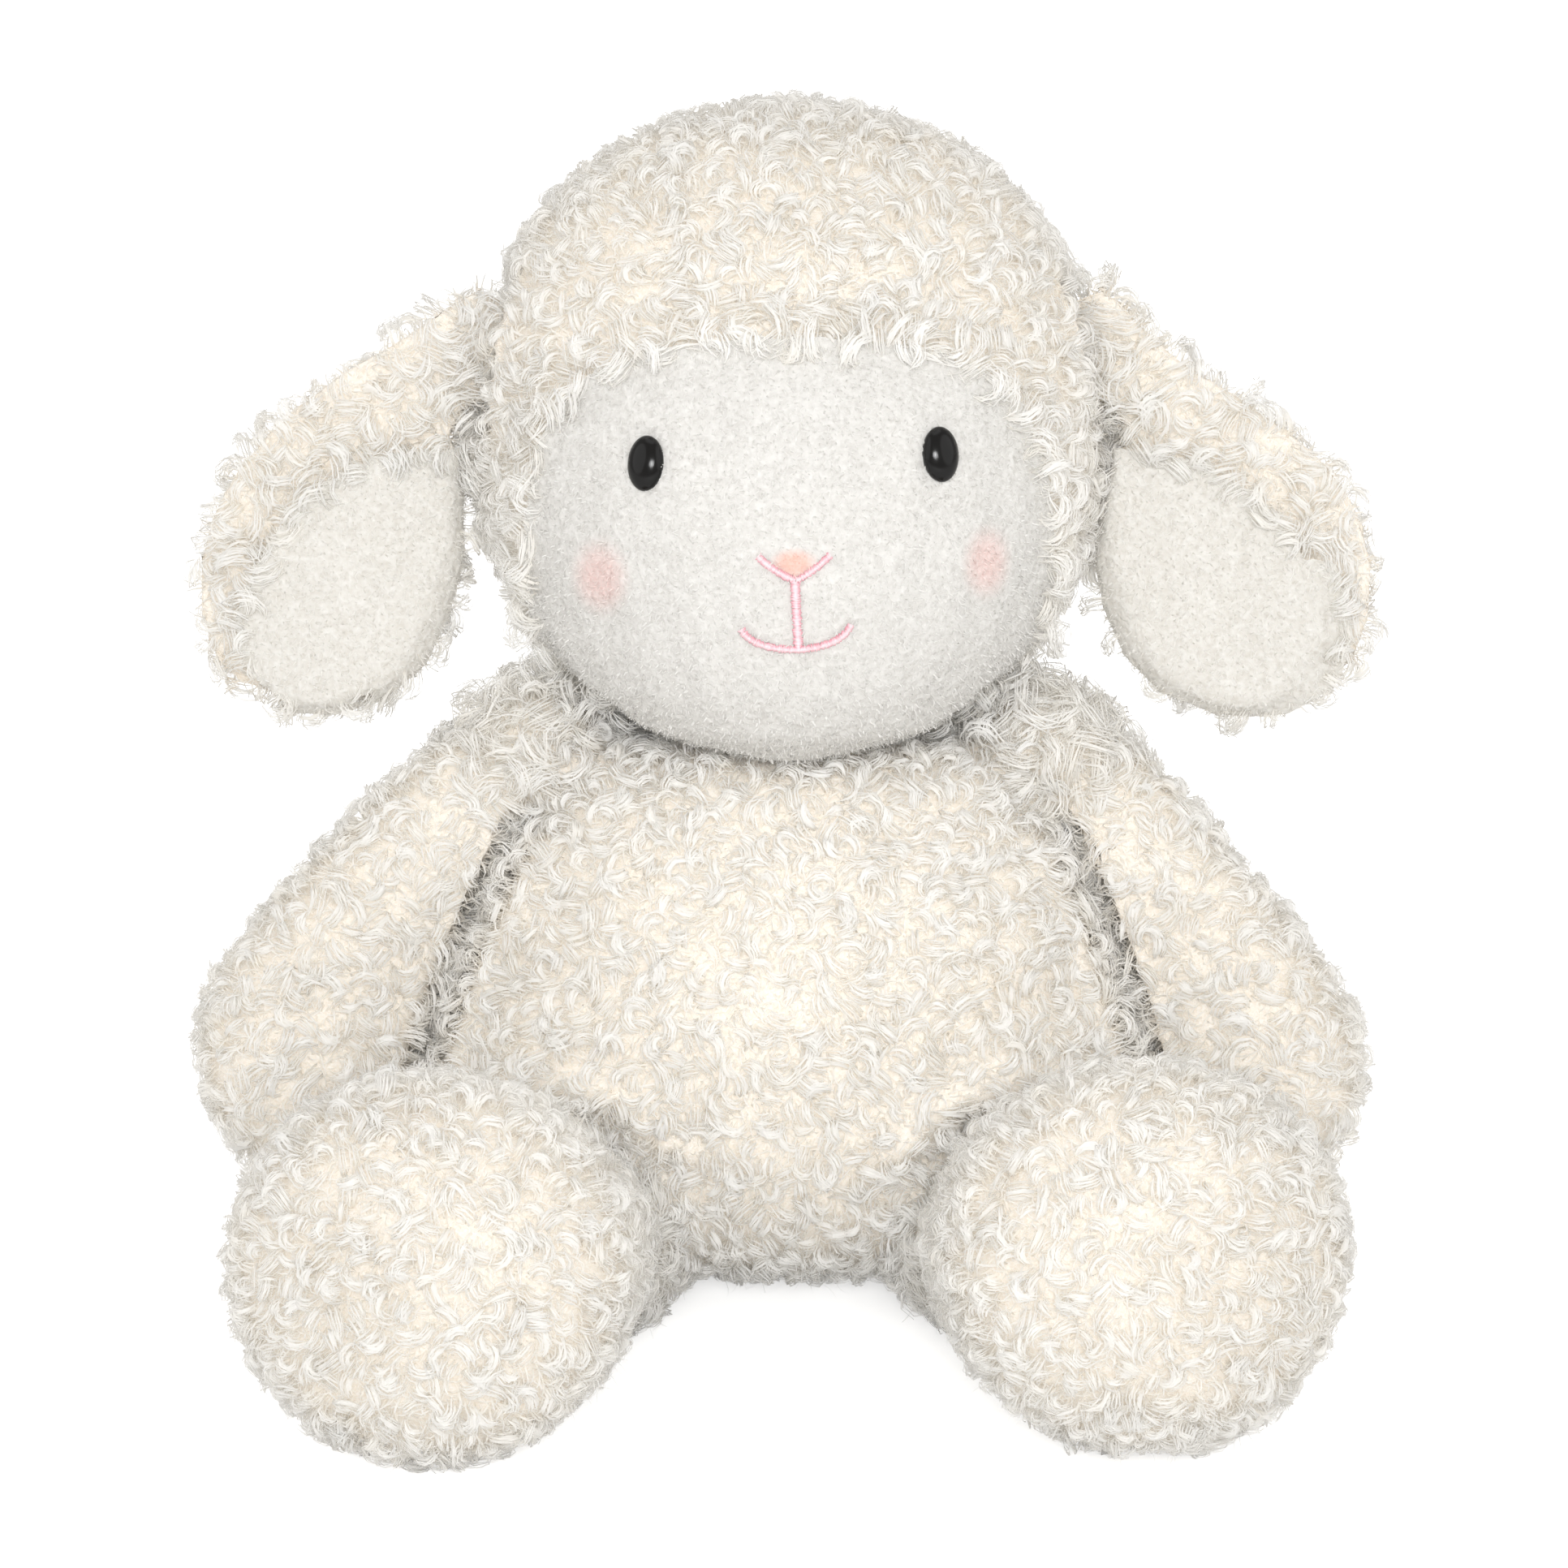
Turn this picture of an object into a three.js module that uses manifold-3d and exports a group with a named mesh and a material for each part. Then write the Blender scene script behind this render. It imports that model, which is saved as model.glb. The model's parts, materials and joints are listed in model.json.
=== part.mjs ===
// A stuffed toy sheep that sits leaning back, with its legs stretched out in front of it.
// Millimetres, +Z up, the toy faces -Y, the floor under its seat is z = 0.
// Every form but the seat is drawn on an upright toy, which then leans back. The origin is the seat's middle.
// Left and right are the viewer's, who looks at the toy's face, so left is -X.
import * as THREE from "three";
import { mergeVertices } from "three/addons/utils/BufferGeometryUtils.js";
import Module from "manifold-3d";

const wasm = await Module();
wasm.setup();

// Fabric, seams and clearances
const woolThickness = 4.5;
const facePileDrop = 1.5;
const seamGap = 0.3;
const seatGap = 0.8;
const fillingSeatGap = 2.2;
const overrun = 20;

// The lean, the height where the seat plane crosses the upright axis, and how far behind that the seat is
const leanAngle = 14;
const seatRise = 21;
const seatSetback = 18;

// Body: a pear with a flat seat, from its lowest to its highest point when upright
const bodyLow = 20;
const bodyHeight = 120;
const bodyHalfWidth = 66;
const bodyFront = 49;
const bodyBack = 50;
const seatPanelHeight = 12;
const seatPanelHalfWidth = 38;
const seatPanelHalfDepth = 25;
const bagHalfWidth = 34;
const bagHalfDepth = 22;
const bagHeight = 16;

// Neck: a ball that the head turns and nods on
const neckPivotY = 3;
const neckPivotDrop = 28;
const neckPivotZ = bodyHeight - neckPivotDrop;
const neckBallRadius = 34;
const neckPlugRadius = 15;
const neckPlugDepth = 26;

// Head, with heights measured from the neck pivot
const headLow = 23;
const headHigh = 140;
const headHalfWidth = 57.5;
const headFront = 55.5;
const headBack = 52;
const gussetHalfWidth = 20;
const headTurnLimit = 25;
const headNodLimit = 8;

// Face panel, seen from the front, with heights measured from the neck pivot
const faceHalfWidth = 48;
const faceHalfHeight = 43;
const faceCentreHeight = 56;
const faceBackEdgeY = -9;

// Eyes: oval domes on posts, each held by a washer behind the face panel
const eyeX = 25.5;
const eyeHeight = 78.5;
const eyeHalfWidth = 3.4;
const eyeHalfHeight = 4.9;
const eyeDome = 3.4;
const eyePostRadius = 1.7;
const eyePostLength = 11;
const washerRadius = 6.5;
const washerThickness = 1.4;
const washerSeat = 2.1;

// Nose and mouth, stitched in thread on the middle line of the face
const threadRadius = 0.75;
const muzzleX = 1;
const noseHalfWidth = 5.8;
const noseTopHeight = 62.6;
const noseLowHeight = 58.7;
const mouthHalfWidth = 9.2;
const mouthTipHeight = 49.6;
const mouthLowHeight = 46;

// Ears, hung from a hinge line at the side of the head
const earPivotX = 56;
const earPivotY = -2;
const earPivotHeight = 96;
const earRootRadius = 13;
const earWidth = 54;
const earLength = 82;
const earFrontBulge = 6;
const earBackBulge = 7;
const liningThickness = 3;
const liningDepth = 1.6;
const rimShare = 0.72;
const leftEarHangAngle = 0;
const rightEarHangAngle = 4;
const earDropLimit = 3;
const earLiftLimit = 60;

// Arms, from the shoulder ball to the tip of the hand
const shoulderX = 45;
const shoulderY = 2;
const shoulderDrop = 8;
const shoulderZ = bodyHeight - shoulderDrop;
const shoulderRadius = 14.5;
const armLength = 91;
const leftArmBow = 7;
const rightArmBow = 5;
const handRadius = 21;
const handDepthRadius = 18;
const armForwardAngle = 9;
const leftArmAngle = 36.5;
const rightArmAngle = 34;
const armForwardLimit = 80;
const armBackLimit = 15;

// Legs, from the hip ball to the sole
const hipX = 36;
const hipY = -30;
const hipZ = 33;
const hipRadius = 18;
const legLength = 80;
const footHalfWidth = 37.5;
const footLowerRadius = 35.5;
const footUpperRadius = 34;
const solePanelDepth = 10;
const leftLegSplayAngle = 29.5;
const rightLegSplayAngle = 29;
const leftLegRise = 2;
const rightLegRise = 4;
const legUpLimit = 20;
const legDownLimit = 30;

// Tail, at the low middle of the back
const tailPivotY = 48;
const tailPivotZ = 58;
const tailRootRadius = 7;
const tailLength = 25;
const tailRadius = 9.5;
const tailDropAngle = 8;
const tailWagLimit = 25;

// Rows of shares: height, half width, front depth, back depth
const bodyShares = [
  [0, 0.5, 0.42, 0.7],
  [0.03, 0.68, 0.6, 0.8],
  [0.1, 0.85, 0.8, 0.9],
  [0.2, 0.95, 0.92, 0.97],
  [0.32, 1, 0.985, 1],
  [0.45, 0.965, 1, 0.975],
  [0.58, 0.9, 0.955, 0.9],
  [0.71, 0.82, 0.85, 0.8],
  [0.83, 0.72, 0.71, 0.69],
  [0.93, 0.62, 0.55, 0.57],
  [0.98, 0.43, 0.37, 0.39],
  [1, 0, 0, 0],
];
const headShares = [
  [0, 0, 0, 0],
  [0.018, 0.34, 0.58, 0.26],
  [0.07, 0.59, 0.8, 0.55],
  [0.13, 0.74, 0.9, 0.73],
  [0.2, 0.855, 0.965, 0.85],
  [0.29, 0.93, 1, 0.93],
  [0.39, 0.985, 0.985, 0.985],
  [0.49, 1, 0.95, 1],
  [0.6, 0.99, 0.885, 0.99],
  [0.7, 0.94, 0.8, 0.95],
  [0.79, 0.85, 0.695, 0.865],
  [0.87, 0.715, 0.565, 0.73],
  [0.94, 0.52, 0.4, 0.53],
  [0.985, 0.27, 0.2, 0.27],
  [1, 0, 0, 0],
];
const armShares = [
  [0, 0, 0, 0],
  [0.02, 0.38, 0.4, 0.4],
  [0.1, 0.7, 0.74, 0.74],
  [0.24, 0.77, 0.8, 0.8],
  [0.42, 0.81, 0.85, 0.85],
  [0.6, 0.92, 0.93, 0.93],
  [0.76, 1, 1, 1],
  [0.88, 0.86, 0.86, 0.86],
  [0.96, 0.55, 0.55, 0.55],
  [1, 0, 0, 0],
];
const legShares = [
  [0, 0, 0, 0],
  [0.015, 0.22, 0.22, 0.22],
  [0.1, 0.48, 0.49, 0.49],
  [0.24, 0.61, 0.61, 0.61],
  [0.4, 0.8, 0.8, 0.8],
  [0.56, 0.96, 0.96, 0.96],
  [0.7, 1, 1, 1],
  [0.83, 0.91, 0.92, 0.91],
  [0.93, 0.7, 0.72, 0.7],
  [0.985, 0.4, 0.42, 0.4],
  [1, 0, 0, 0],
];
const tailShares = [
  [0, 0, 0, 0],
  [0.03, 0.4, 0.4, 0.4],
  [0.2, 0.7, 0.7, 0.7],
  [0.5, 0.95, 0.95, 0.95],
  [0.72, 1, 1, 1],
  [0.92, 0.65, 0.65, 0.65],
  [1, 0, 0, 0],
];
const bagShares = [
  [0, 0.8, 0.8, 0.8],
  [0.2, 0.95, 0.95, 0.95],
  [0.5, 1, 1, 1],
  [0.8, 0.85, 0.85, 0.85],
  [1, 0.5, 0.5, 0.5],
];

// Right half of the face panel's outline, as shares of its half width and half height
const faceOutlineShares = [
  [0, 1],
  [0.36, 0.985],
  [0.64, 0.9],
  [0.84, 0.75],
  [0.94, 0.5],
  [0.99, 0.16],
  [0.99, -0.12],
  [0.95, -0.36],
  [0.92, -0.6],
  [0.9, -0.9],
];

// Outlines of the ear and of its lining, outward and up from the pivot, as shares of ear width and length
const earOutlineShares = [
  [-0.25, 0],
  [-0.177, 0.112],
  [0, 0.158],
  [0.27, 0.106],
  [0.56, -0.01],
  [0.85, -0.24],
  [1, -0.52],
  [0.92, -0.77],
  [0.59, -0.865],
  [0.24, -0.79],
  [0.06, -0.55],
  [0.04, -0.29],
  [0, -0.158],
  [-0.177, -0.112],
];
const liningOutlineShares = [
  [0.1, -0.245],
  [0.42, -0.26],
  [0.69, -0.44],
  [0.81, -0.68],
  [0.6, -0.83],
  [0.28, -0.765],
  [0.11, -0.54],
  [0.075, -0.35],
];

// One arm of the nose and the smile, from the middle outward, as shares of half width and of rise
const noseArmShares = [
  [0.45, 0.36],
  [0.8, 0.7],
  [1, 1],
];
const smileShares = [-1, -0.72, -0.38, 0, 0.38, 0.72, 1];

const wool = { color: 0xf5efe3, roughness: 0.96, metalness: 0 };
const shortPile = { color: 0xf3f0ea, roughness: 0.92, metalness: 0 };
const liningPile = { color: 0xf6eee2, roughness: 0.92, metalness: 0 };
const polyesterFill = { color: 0xffffff, roughness: 1, metalness: 0 };
const bagCloth = { color: 0xe9e6dd, roughness: 0.9, metalness: 0 };
const blackPlastic = { color: 0x0b0b0c, roughness: 0.08, metalness: 0 };
const whitePlastic = { color: 0xe8e8e4, roughness: 0.5, metalness: 0 };
const pinkThread = { color: 0xf0a8b8, roughness: 0.55, metalness: 0 };

// Steps along a limb's swing at which it is cut clear of the larger form
const swingSteps = 6;

const sides = { left: -1, right: 1 };
const degrees = THREE.MathUtils.degToRad;

// A closed geometry as a solid
function solidOf(geometry) {
  const bare = geometry.clone();
  bare.deleteAttribute("normal");
  bare.deleteAttribute("uv");
  const joined = mergeVertices(bare, seamGap / 300);
  const vertProperties = new Float32Array(joined.attributes.position.array);
  const triVerts = new Uint32Array(joined.index.array);
  return new wasm.Manifold(new wasm.Mesh({ numProp: 3, vertProperties, triVerts }));
}

// A solid as a geometry
function geometryOf(solid) {
  const { vertProperties, triVerts } = solid.getMesh();
  const geometry = new THREE.BufferGeometry();
  geometry.setAttribute("position", new THREE.BufferAttribute(vertProperties, 3));
  geometry.setIndex(new THREE.BufferAttribute(triVerts, 1));
  geometry.computeVertexNormals();
  return geometry;
}

function mesh(name, solid, finish) {
  const made = new THREE.Mesh(geometryOf(solid), new THREE.MeshStandardMaterial(finish));
  made.name = name;
  return made;
}

// A row of shares between two rows of a table, on a smooth curve through them
function rowAt(shares, place) {
  const last = shares.length - 1;
  const at = Math.min(place * last, last - 1e-9);
  const index = Math.floor(at);
  const t = at - index;
  const row = (k) => shares[Math.max(0, Math.min(last, k))];
  return shares[index].map((value, c) => {
    const next = row(index + 1)[c];
    const slope = (next - row(index - 1)[c]) / 2;
    const nextSlope = (row(index + 2)[c] - value) / 2;
    const rise = (2 * t ** 3 - 3 * t ** 2 + 1) * value + (-2 * t ** 3 + 3 * t ** 2) * next;
    return rise + (t ** 3 - 2 * t ** 2 + t) * slope + (t ** 3 - t ** 2) * nextSlope;
  });
}

// A stuffed form: oval rings along Z, which swell and taper by a table of shares
function softForm(form, inset, segments, rings) {
  const { shares, low, high, halfWidth, front, back } = form;
  const round = form.roundShare ?? 1;
  const bow = form.bow ?? 0;
  const points = [];
  const faces = [];
  const ringOf = (row) => {
    const [heightShare, widthShare, frontShare, backShare] = row;
    const z = low + inset + heightShare * (high - low - 2 * inset);
    const bowed = bow * Math.sin(Math.PI * heightShare);
    for (let s = 0; s < segments; s++) {
      const turn = (2 * Math.PI * s) / segments;
      const across = Math.sign(Math.cos(turn)) * Math.abs(Math.cos(turn)) ** round;
      const along = Math.sign(Math.sin(turn)) * Math.abs(Math.sin(turn)) ** round;
      const depth = along < 0 ? frontShare * (front - inset) : backShare * (back - inset);
      points.push(bowed + widthShare * (halfWidth - inset) * across, along * depth, z);
    }
  };
  for (let r = 1; r < rings; r++) {
    ringOf(rowAt(shares, r / rings));
  }
  const flatLow = shares[0][1] > 0;
  const flatHigh = shares[shares.length - 1][1] > 0;
  const firstRing = flatLow ? points.length / 3 : 0;
  if (flatLow) {
    ringOf(shares[0]);
  }
  const lastRing = flatHigh ? points.length / 3 : (rings - 2) * segments;
  if (flatHigh) {
    ringOf(shares[shares.length - 1]);
  }
  const starts = Array.from({ length: rings - 1 }, (_, r) => r * segments);
  if (flatLow) {
    starts.unshift(firstRing);
  }
  if (flatHigh) {
    starts.push(lastRing);
  }
  const lowPole = points.length / 3;
  points.push(0, 0, low + inset);
  const highPole = lowPole + 1;
  points.push(0, 0, high - inset);
  for (let s = 0; s < segments; s++) {
    const next = (s + 1) % segments;
    faces.push(lowPole, starts[0] + next, starts[0] + s);
    for (let r = 0; r + 1 < starts.length; r++) {
      faces.push(starts[r] + s, starts[r] + next, starts[r + 1] + next);
      faces.push(starts[r] + s, starts[r + 1] + next, starts[r + 1] + s);
    }
    const top = starts[starts.length - 1];
    faces.push(highPole, top + s, top + next);
  }
  const geometry = new THREE.BufferGeometry();
  geometry.setAttribute("position", new THREE.Float32BufferAttribute(points, 3));
  geometry.setIndex(faces);
  return geometry;
}

// A closed outline blown up like a pillow with a full rim, and its thickness along Y
function pillow(outline, frontBulge, backBulge, inset, segments, rings) {
  const total = outline.reduce((sum, p) => sum.add(p), new THREE.Vector3());
  const centre = total.divideScalar(outline.length);
  const curve = new THREE.CatmullRomCurve3(outline, true, "centripetal");
  const rim = curve.getSpacedPoints(segments).slice(0, segments);
  const points = [];
  const faces = [];
  const ringOf = (share, depth) => {
    rim.forEach((p) => {
      const reach = p.clone().sub(centre);
      const length = reach.length();
      reach.multiplyScalar((share * (length - inset)) / length);
      points.push(centre.x + reach.x, depth, centre.z + reach.z);
    });
  };
  const swell = (r, bulge) => (bulge - inset) * Math.sin((Math.PI / 2) * (r / rings)) ** rimShare;
  const shareOf = (r) => Math.cos((Math.PI / 2) * (r / rings)) ** rimShare;
  for (let r = rings - 1; r > 0; r--) {
    ringOf(shareOf(r), -swell(r, frontBulge));
  }
  ringOf(1, 0);
  for (let r = 1; r < rings; r++) {
    ringOf(shareOf(r), swell(r, backBulge));
  }
  const ringCount = 2 * rings - 1;
  const frontPole = ringCount * segments;
  points.push(centre.x, -(frontBulge - inset), centre.z);
  points.push(centre.x, backBulge - inset, centre.z);
  for (let s = 0; s < segments; s++) {
    const next = (s + 1) % segments;
    faces.push(frontPole, next, s);
    for (let r = 0; r + 1 < ringCount; r++) {
      const here = r * segments;
      const beyond = here + segments;
      faces.push(here + s, here + next, beyond + next);
      faces.push(here + s, beyond + next, beyond + s);
    }
    const last = (ringCount - 1) * segments;
    faces.push(frontPole + 1, last + s, last + next);
  }
  const geometry = new THREE.BufferGeometry();
  geometry.setAttribute("position", new THREE.Float32BufferAttribute(points, 3));
  geometry.setIndex(faces);
  return geometry;
}

function ball(radius, x, y, z, segments) {
  const geometry = new THREE.SphereGeometry(radius, segments, segments / 2);
  return solidOf(geometry.translate(x, y, z));
}

// A block between two corners
function block(low, high) {
  const size = high.map((value, axis) => value - low[axis]);
  const middle = high.map((value, axis) => (value + low[axis]) / 2);
  return solidOf(new THREE.BoxGeometry(...size).translate(...middle));
}

// A rod along Z between two heights
function rod(radius, low, high, segments) {
  const geometry = new THREE.CylinderGeometry(radius, radius, high - low, segments);
  return solidOf(geometry.rotateX(degrees(90)).translate(0, 0, (low + high) / 2));
}

// The rotation that carries +Z to a direction and +Y as near as it can to a rear direction
function turnTo(direction, rear) {
  const across = rear.clone().cross(direction).normalize();
  const back = direction.clone().cross(across);
  const basis = new THREE.Matrix4().makeBasis(across, back, direction);
  return new THREE.Quaternion().setFromRotationMatrix(basis);
}

// Cuts a limb, in its own frame, by the larger form through the limb's whole swing
function clearOf(limb, largerGeometry, place, axis, limits) {
  let cleared = limb;
  for (let step = 0; step <= swingSteps; step++) {
    const angle = limits[0] + ((limits[1] - limits[0]) * step) / swingSteps;
    const swing = new THREE.Matrix4().makeRotationAxis(axis, degrees(-angle));
    const geometry = largerGeometry.clone();
    geometry.translate(...place.position.clone().negate().toArray());
    geometry.applyMatrix4(swing);
    geometry.applyQuaternion(place.quaternion.clone().invert());
    cleared = cleared.subtract(solidOf(geometry));
  }
  return biggestOf(cleared);
}

// The largest of the separate solids that a cut leaves
function biggestOf(solid) {
  const parts = solid.decompose();
  return parts.reduce((best, part) => (part.volume() > best.volume() ? part : best));
}

const bodyForm = {
  shares: bodyShares,
  low: bodyLow,
  high: bodyHeight,
  halfWidth: bodyHalfWidth,
  front: bodyFront,
  back: bodyBack,
  roundShare: 0.94,
};
const headForm = {
  shares: headShares,
  low: headLow,
  high: headHigh,
  halfWidth: headHalfWidth,
  front: headFront,
  back: headBack,
};
const armForm = {
  shares: armShares,
  low: -shoulderRadius / 2,
  high: armLength,
  halfWidth: handRadius,
  front: handDepthRadius,
  back: handDepthRadius,
};
const legForm = {
  shares: legShares,
  low: -hipRadius / 3,
  high: legLength,
  halfWidth: footHalfWidth,
  front: footLowerRadius,
  back: footUpperRadius,
};
const tailForm = {
  shares: tailShares,
  low: -tailRootRadius / 2,
  high: tailLength,
  halfWidth: tailRadius,
  front: tailRadius,
  back: tailRadius,
};
const bagForm = {
  shares: bagShares,
  low: woolThickness + seamGap,
  high: woolThickness + seamGap + bagHeight,
  halfWidth: bagHalfWidth,
  front: bagHalfDepth,
  back: bagHalfDepth,
};

// Facets round each form and along it
const outerFaces = [26, 15];
const innerFaces = [14, 8];
const limbFaces = [16, 11];
const limbInnerFaces = [10, 7];
const ballSegments = 16;
const innerBallSegments = 10;
const neckSegments = 28;
const shoulderFaces = [12, 8];
const earFaces = [24, 4];
const threadStepsPerPlace = 2;
const threadSegments = 3;
const postSegments = 12;
const washerSegments = 16;
const outlineStepsPerPlace = 4;
const depthHalvings = 40;

// How far each leg is splayed, and how steeply it rises
const legHangs = {
  left: [leftLegSplayAngle, leftLegRise],
  right: [rightLegSplayAngle, rightLegRise],
};

// Where each limb is hung, in the frame of the piece that carries it
function limbPlace(x, y, z, direction, rear) {
  const place = new THREE.Group();
  place.position.set(x, y, z);
  place.quaternion.copy(turnTo(direction.normalize(), rear));
  return place;
}

function armPlace(side, angle) {
  const out = Math.sin(degrees(angle));
  const down = Math.cos(degrees(angle));
  const forward = Math.tan(degrees(armForwardAngle));
  const direction = new THREE.Vector3(sides[side] * out, -forward, -down);
  const rear = new THREE.Vector3(0, 1, 0);
  return limbPlace(sides[side] * shoulderX, shoulderY, shoulderZ, direction, rear);
}

function legPlace(side) {
  const [splayAngle, rise] = legHangs[side];
  const splay = degrees(splayAngle);
  const across = sides[side] * Math.sin(splay);
  const direction = new THREE.Vector3(across, -Math.cos(splay), Math.tan(degrees(rise)));
  return limbPlace(sides[side] * hipX, hipY, hipZ, direction, new THREE.Vector3(0, 0, 1));
}

function tailPlace() {
  const drop = degrees(tailDropAngle);
  const direction = new THREE.Vector3(0, Math.cos(drop), -Math.sin(drop));
  return limbPlace(0, tailPivotY, tailPivotZ, direction, new THREE.Vector3(0, 0, 1));
}

// The hollows in the body where the limbs' root balls sit
function limbSeats(gap, segments) {
  const seats = Object.values(sides).flatMap((sign) => [
    ball(shoulderRadius + gap, sign * shoulderX, shoulderY, shoulderZ, segments),
    ball(hipRadius + gap, sign * hipX, hipY, hipZ, segments),
  ]);
  seats.push(ball(tailRootRadius + gap, 0, tailPivotY, tailPivotZ, segments));
  return seats.reduce((all, seat) => all.add(seat));
}

// Carries a geometry from the upright toy to the leaning one
function leaned(geometry) {
  return geometry.translate(0, 0, -seatRise).rotateX(degrees(-leanAngle)).translate(0, -seatSetback, 0);
}

function leanedSolid(solid) {
  return solidOf(leaned(geometryOf(solid)));
}

// The body, leaning back and cut off level under the seat
function bodySolid(inset, faces) {
  const pear = solidOf(softForm(bodyForm, inset, ...faces));
  const neck = ball(neckBallRadius - inset, 0, neckPivotY, neckPivotZ, neckSegments);
  const reach = bodyHeight + bodyHalfWidth;
  const level = block([-reach, -reach, inset], [reach, reach, reach]);
  return leanedSolid(pear.add(neck)).intersect(level);
}

// The neck's bore through the top of the upright body
function neckBore() {
  const dome = Math.sqrt(neckBallRadius ** 2 - neckPlugRadius ** 2);
  const low = neckPivotZ + dome - neckPlugDepth - seamGap;
  const bore = rod(neckPlugRadius + seatGap, low, neckPivotZ + neckBallRadius + overrun, neckSegments);
  return solidOf(geometryOf(bore).translate(0, neckPivotY, 0));
}

// An upright oval prism through the seat panel's place
function seatPrism(grow) {
  const prism = geometryOf(rod(1, -overrun, seatPanelHeight + grow, outerFaces[0]));
  return solidOf(prism.scale(seatPanelHalfWidth + grow, seatPanelHalfDepth + grow, 1));
}

function bodyPieces() {
  const holes = leanedSolid(limbSeats(seatGap, ballSegments).add(neckBore()));
  const hollows = leanedSolid(limbSeats(fillingSeatGap, innerBallSegments).add(neckBore()));
  const inside = bodySolid(woolThickness, innerFaces);
  const cover = bodySolid(0, outerFaces).subtract(inside).subtract(holes);
  const reach = bodyHeight + bodyHalfWidth;
  const half = seamGap / 2;
  const upper = cover.subtract(seatPrism(seamGap));
  const frontHalf = block([-reach, -reach, -reach], [reach, -seatSetback - half, reach]);
  const backLeft = block([-reach, half - seatSetback, -reach], [-half, reach, reach]);
  const backRight = block([half, half - seatSetback, -reach], [reach, reach, reach]);
  const filling = bodySolid(woolThickness + seamGap, innerFaces).subtract(hollows);
  const emptied = filling.subtract(solidOf(softForm(bagForm, -seamGap, ...innerFaces)));
  return [
    mesh("body_front_panel", biggestOf(upper.intersect(frontHalf)), wool),
    mesh("body_back_left_panel", biggestOf(upper.intersect(backLeft)), wool),
    mesh("body_back_right_panel", biggestOf(upper.intersect(backRight)), wool),
    mesh("seat_panel", biggestOf(cover.intersect(seatPrism(0))), wool),
    mesh("body_filling", biggestOf(emptied), polyesterFill),
    mesh("pellet_bag", solidOf(softForm(bagForm, 0, ...innerFaces)), bagCloth),
  ];
}

// The plug of filling that passes from the body into the head's neck opening, capped by the neck ball's dome
function neckFilling() {
  const dome = Math.sqrt(neckBallRadius ** 2 - neckPlugRadius ** 2);
  const plug = rod(neckPlugRadius, dome - neckPlugDepth, neckBallRadius + overrun, neckSegments);
  return mesh("neck_filling", plug.intersect(ball(neckBallRadius, 0, 0, 0, neckSegments)), polyesterFill);
}

// The face panel's outline, seen from the front, as a prism that reaches back to the panel's rear edge
function faceCut(grow) {
  const points = faceOutlineShares.map(([across, up]) => [
    across * faceHalfWidth + Math.sign(across) * grow,
    faceCentreHeight + up * faceHalfHeight + (up > 0 ? up * grow : 0),
  ]);
  const left = points.slice(1).map(([x, z]) => [-x, z]).reverse();
  const outline = [...left, ...points].map(([x, z]) => new THREE.Vector2(x, z));
  const curve = new THREE.SplineCurve(outline);
  const shape = new THREE.Shape(curve.getPoints(outlineStepsPerPlace * faceOutlineShares.length));
  const depth = headFront + overrun + faceBackEdgeY + grow;
  const geometry = new THREE.ExtrudeGeometry(shape, { depth, bevelEnabled: false });
  geometry.rotateX(degrees(90)).translate(0, faceBackEdgeY + grow, 0);
  return solidOf(geometry);
}

// The point of the face panel's surface at a place seen from the front, and the way that it faces
function onFace(x, z) {
  const depthAt = (px, pz) => {
    const wide = headHalfWidth - facePileDrop;
    const deep = headFront - facePileDrop;
    const share = (pz - headLow - facePileDrop) / (headHigh - headLow - 2 * facePileDrop);
    let low = 0;
    let high = 1;
    for (let k = 0; k < depthHalvings; k++) {
      const middle = (low + high) / 2;
      if (rowAt(headShares, middle)[0] < share) {
        low = middle;
      } else {
        high = middle;
      }
    }
    const [, widthShare, frontShare] = rowAt(headShares, low);
    return -deep * frontShare * Math.sqrt(1 - (px / (wide * widthShare)) ** 2);
  };
  const step = seamGap;
  const y = depthAt(x, z);
  const slopeX = (depthAt(x + step, z) - depthAt(x - step, z)) / (2 * step);
  const slopeZ = (depthAt(x, z + step) - depthAt(x, z - step)) / (2 * step);
  const normal = new THREE.Vector3(slopeX, -1, slopeZ).normalize();
  return { point: new THREE.Vector3(x, y, z), normal };
}

function eyePlace(side) {
  const { point, normal } = onFace(sides[side] * eyeX, eyeHeight);
  const place = new THREE.Group();
  place.position.copy(point);
  const across = new THREE.Vector3(0, 0, 1).cross(normal).normalize();
  const up = normal.clone().cross(across);
  place.quaternion.setFromRotationMatrix(new THREE.Matrix4().makeBasis(across, up, normal));
  return place;
}

// A solid of a placed group, carried into the frame that the group is in
function carried(solid, place) {
  place.updateMatrix();
  return solidOf(geometryOf(solid).applyMatrix4(place.matrix));
}

function eyePost(grow, high) {
  return rod(eyePostRadius + grow, -eyePostLength - grow, high, postSegments);
}

function eyeSolid() {
  const dome = new THREE.SphereGeometry(1, ballSegments, ballSegments / 2);
  dome.scale(eyeHalfWidth, eyeHalfHeight, eyeDome);
  const ahead = block([-overrun, -overrun, 0], [overrun, overrun, overrun]);
  const cap = solidOf(dome).intersect(ahead);
  const capGeometry = geometryOf(cap).translate(0, 0, seamGap);
  return solidOf(capGeometry).add(eyePost(0, 2 * seamGap));
}

// The places of the eye's washer, from its front face to its back
function washerSpan() {
  const front = -(woolThickness - facePileDrop) - washerSeat;
  return [front - washerThickness, front];
}

function washerSolid() {
  const [low, high] = washerSpan();
  const hole = rod(eyePostRadius + seamGap / 2, low - overrun, high + overrun, washerSegments);
  return rod(washerRadius, low, high, washerSegments).subtract(hole);
}

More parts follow.
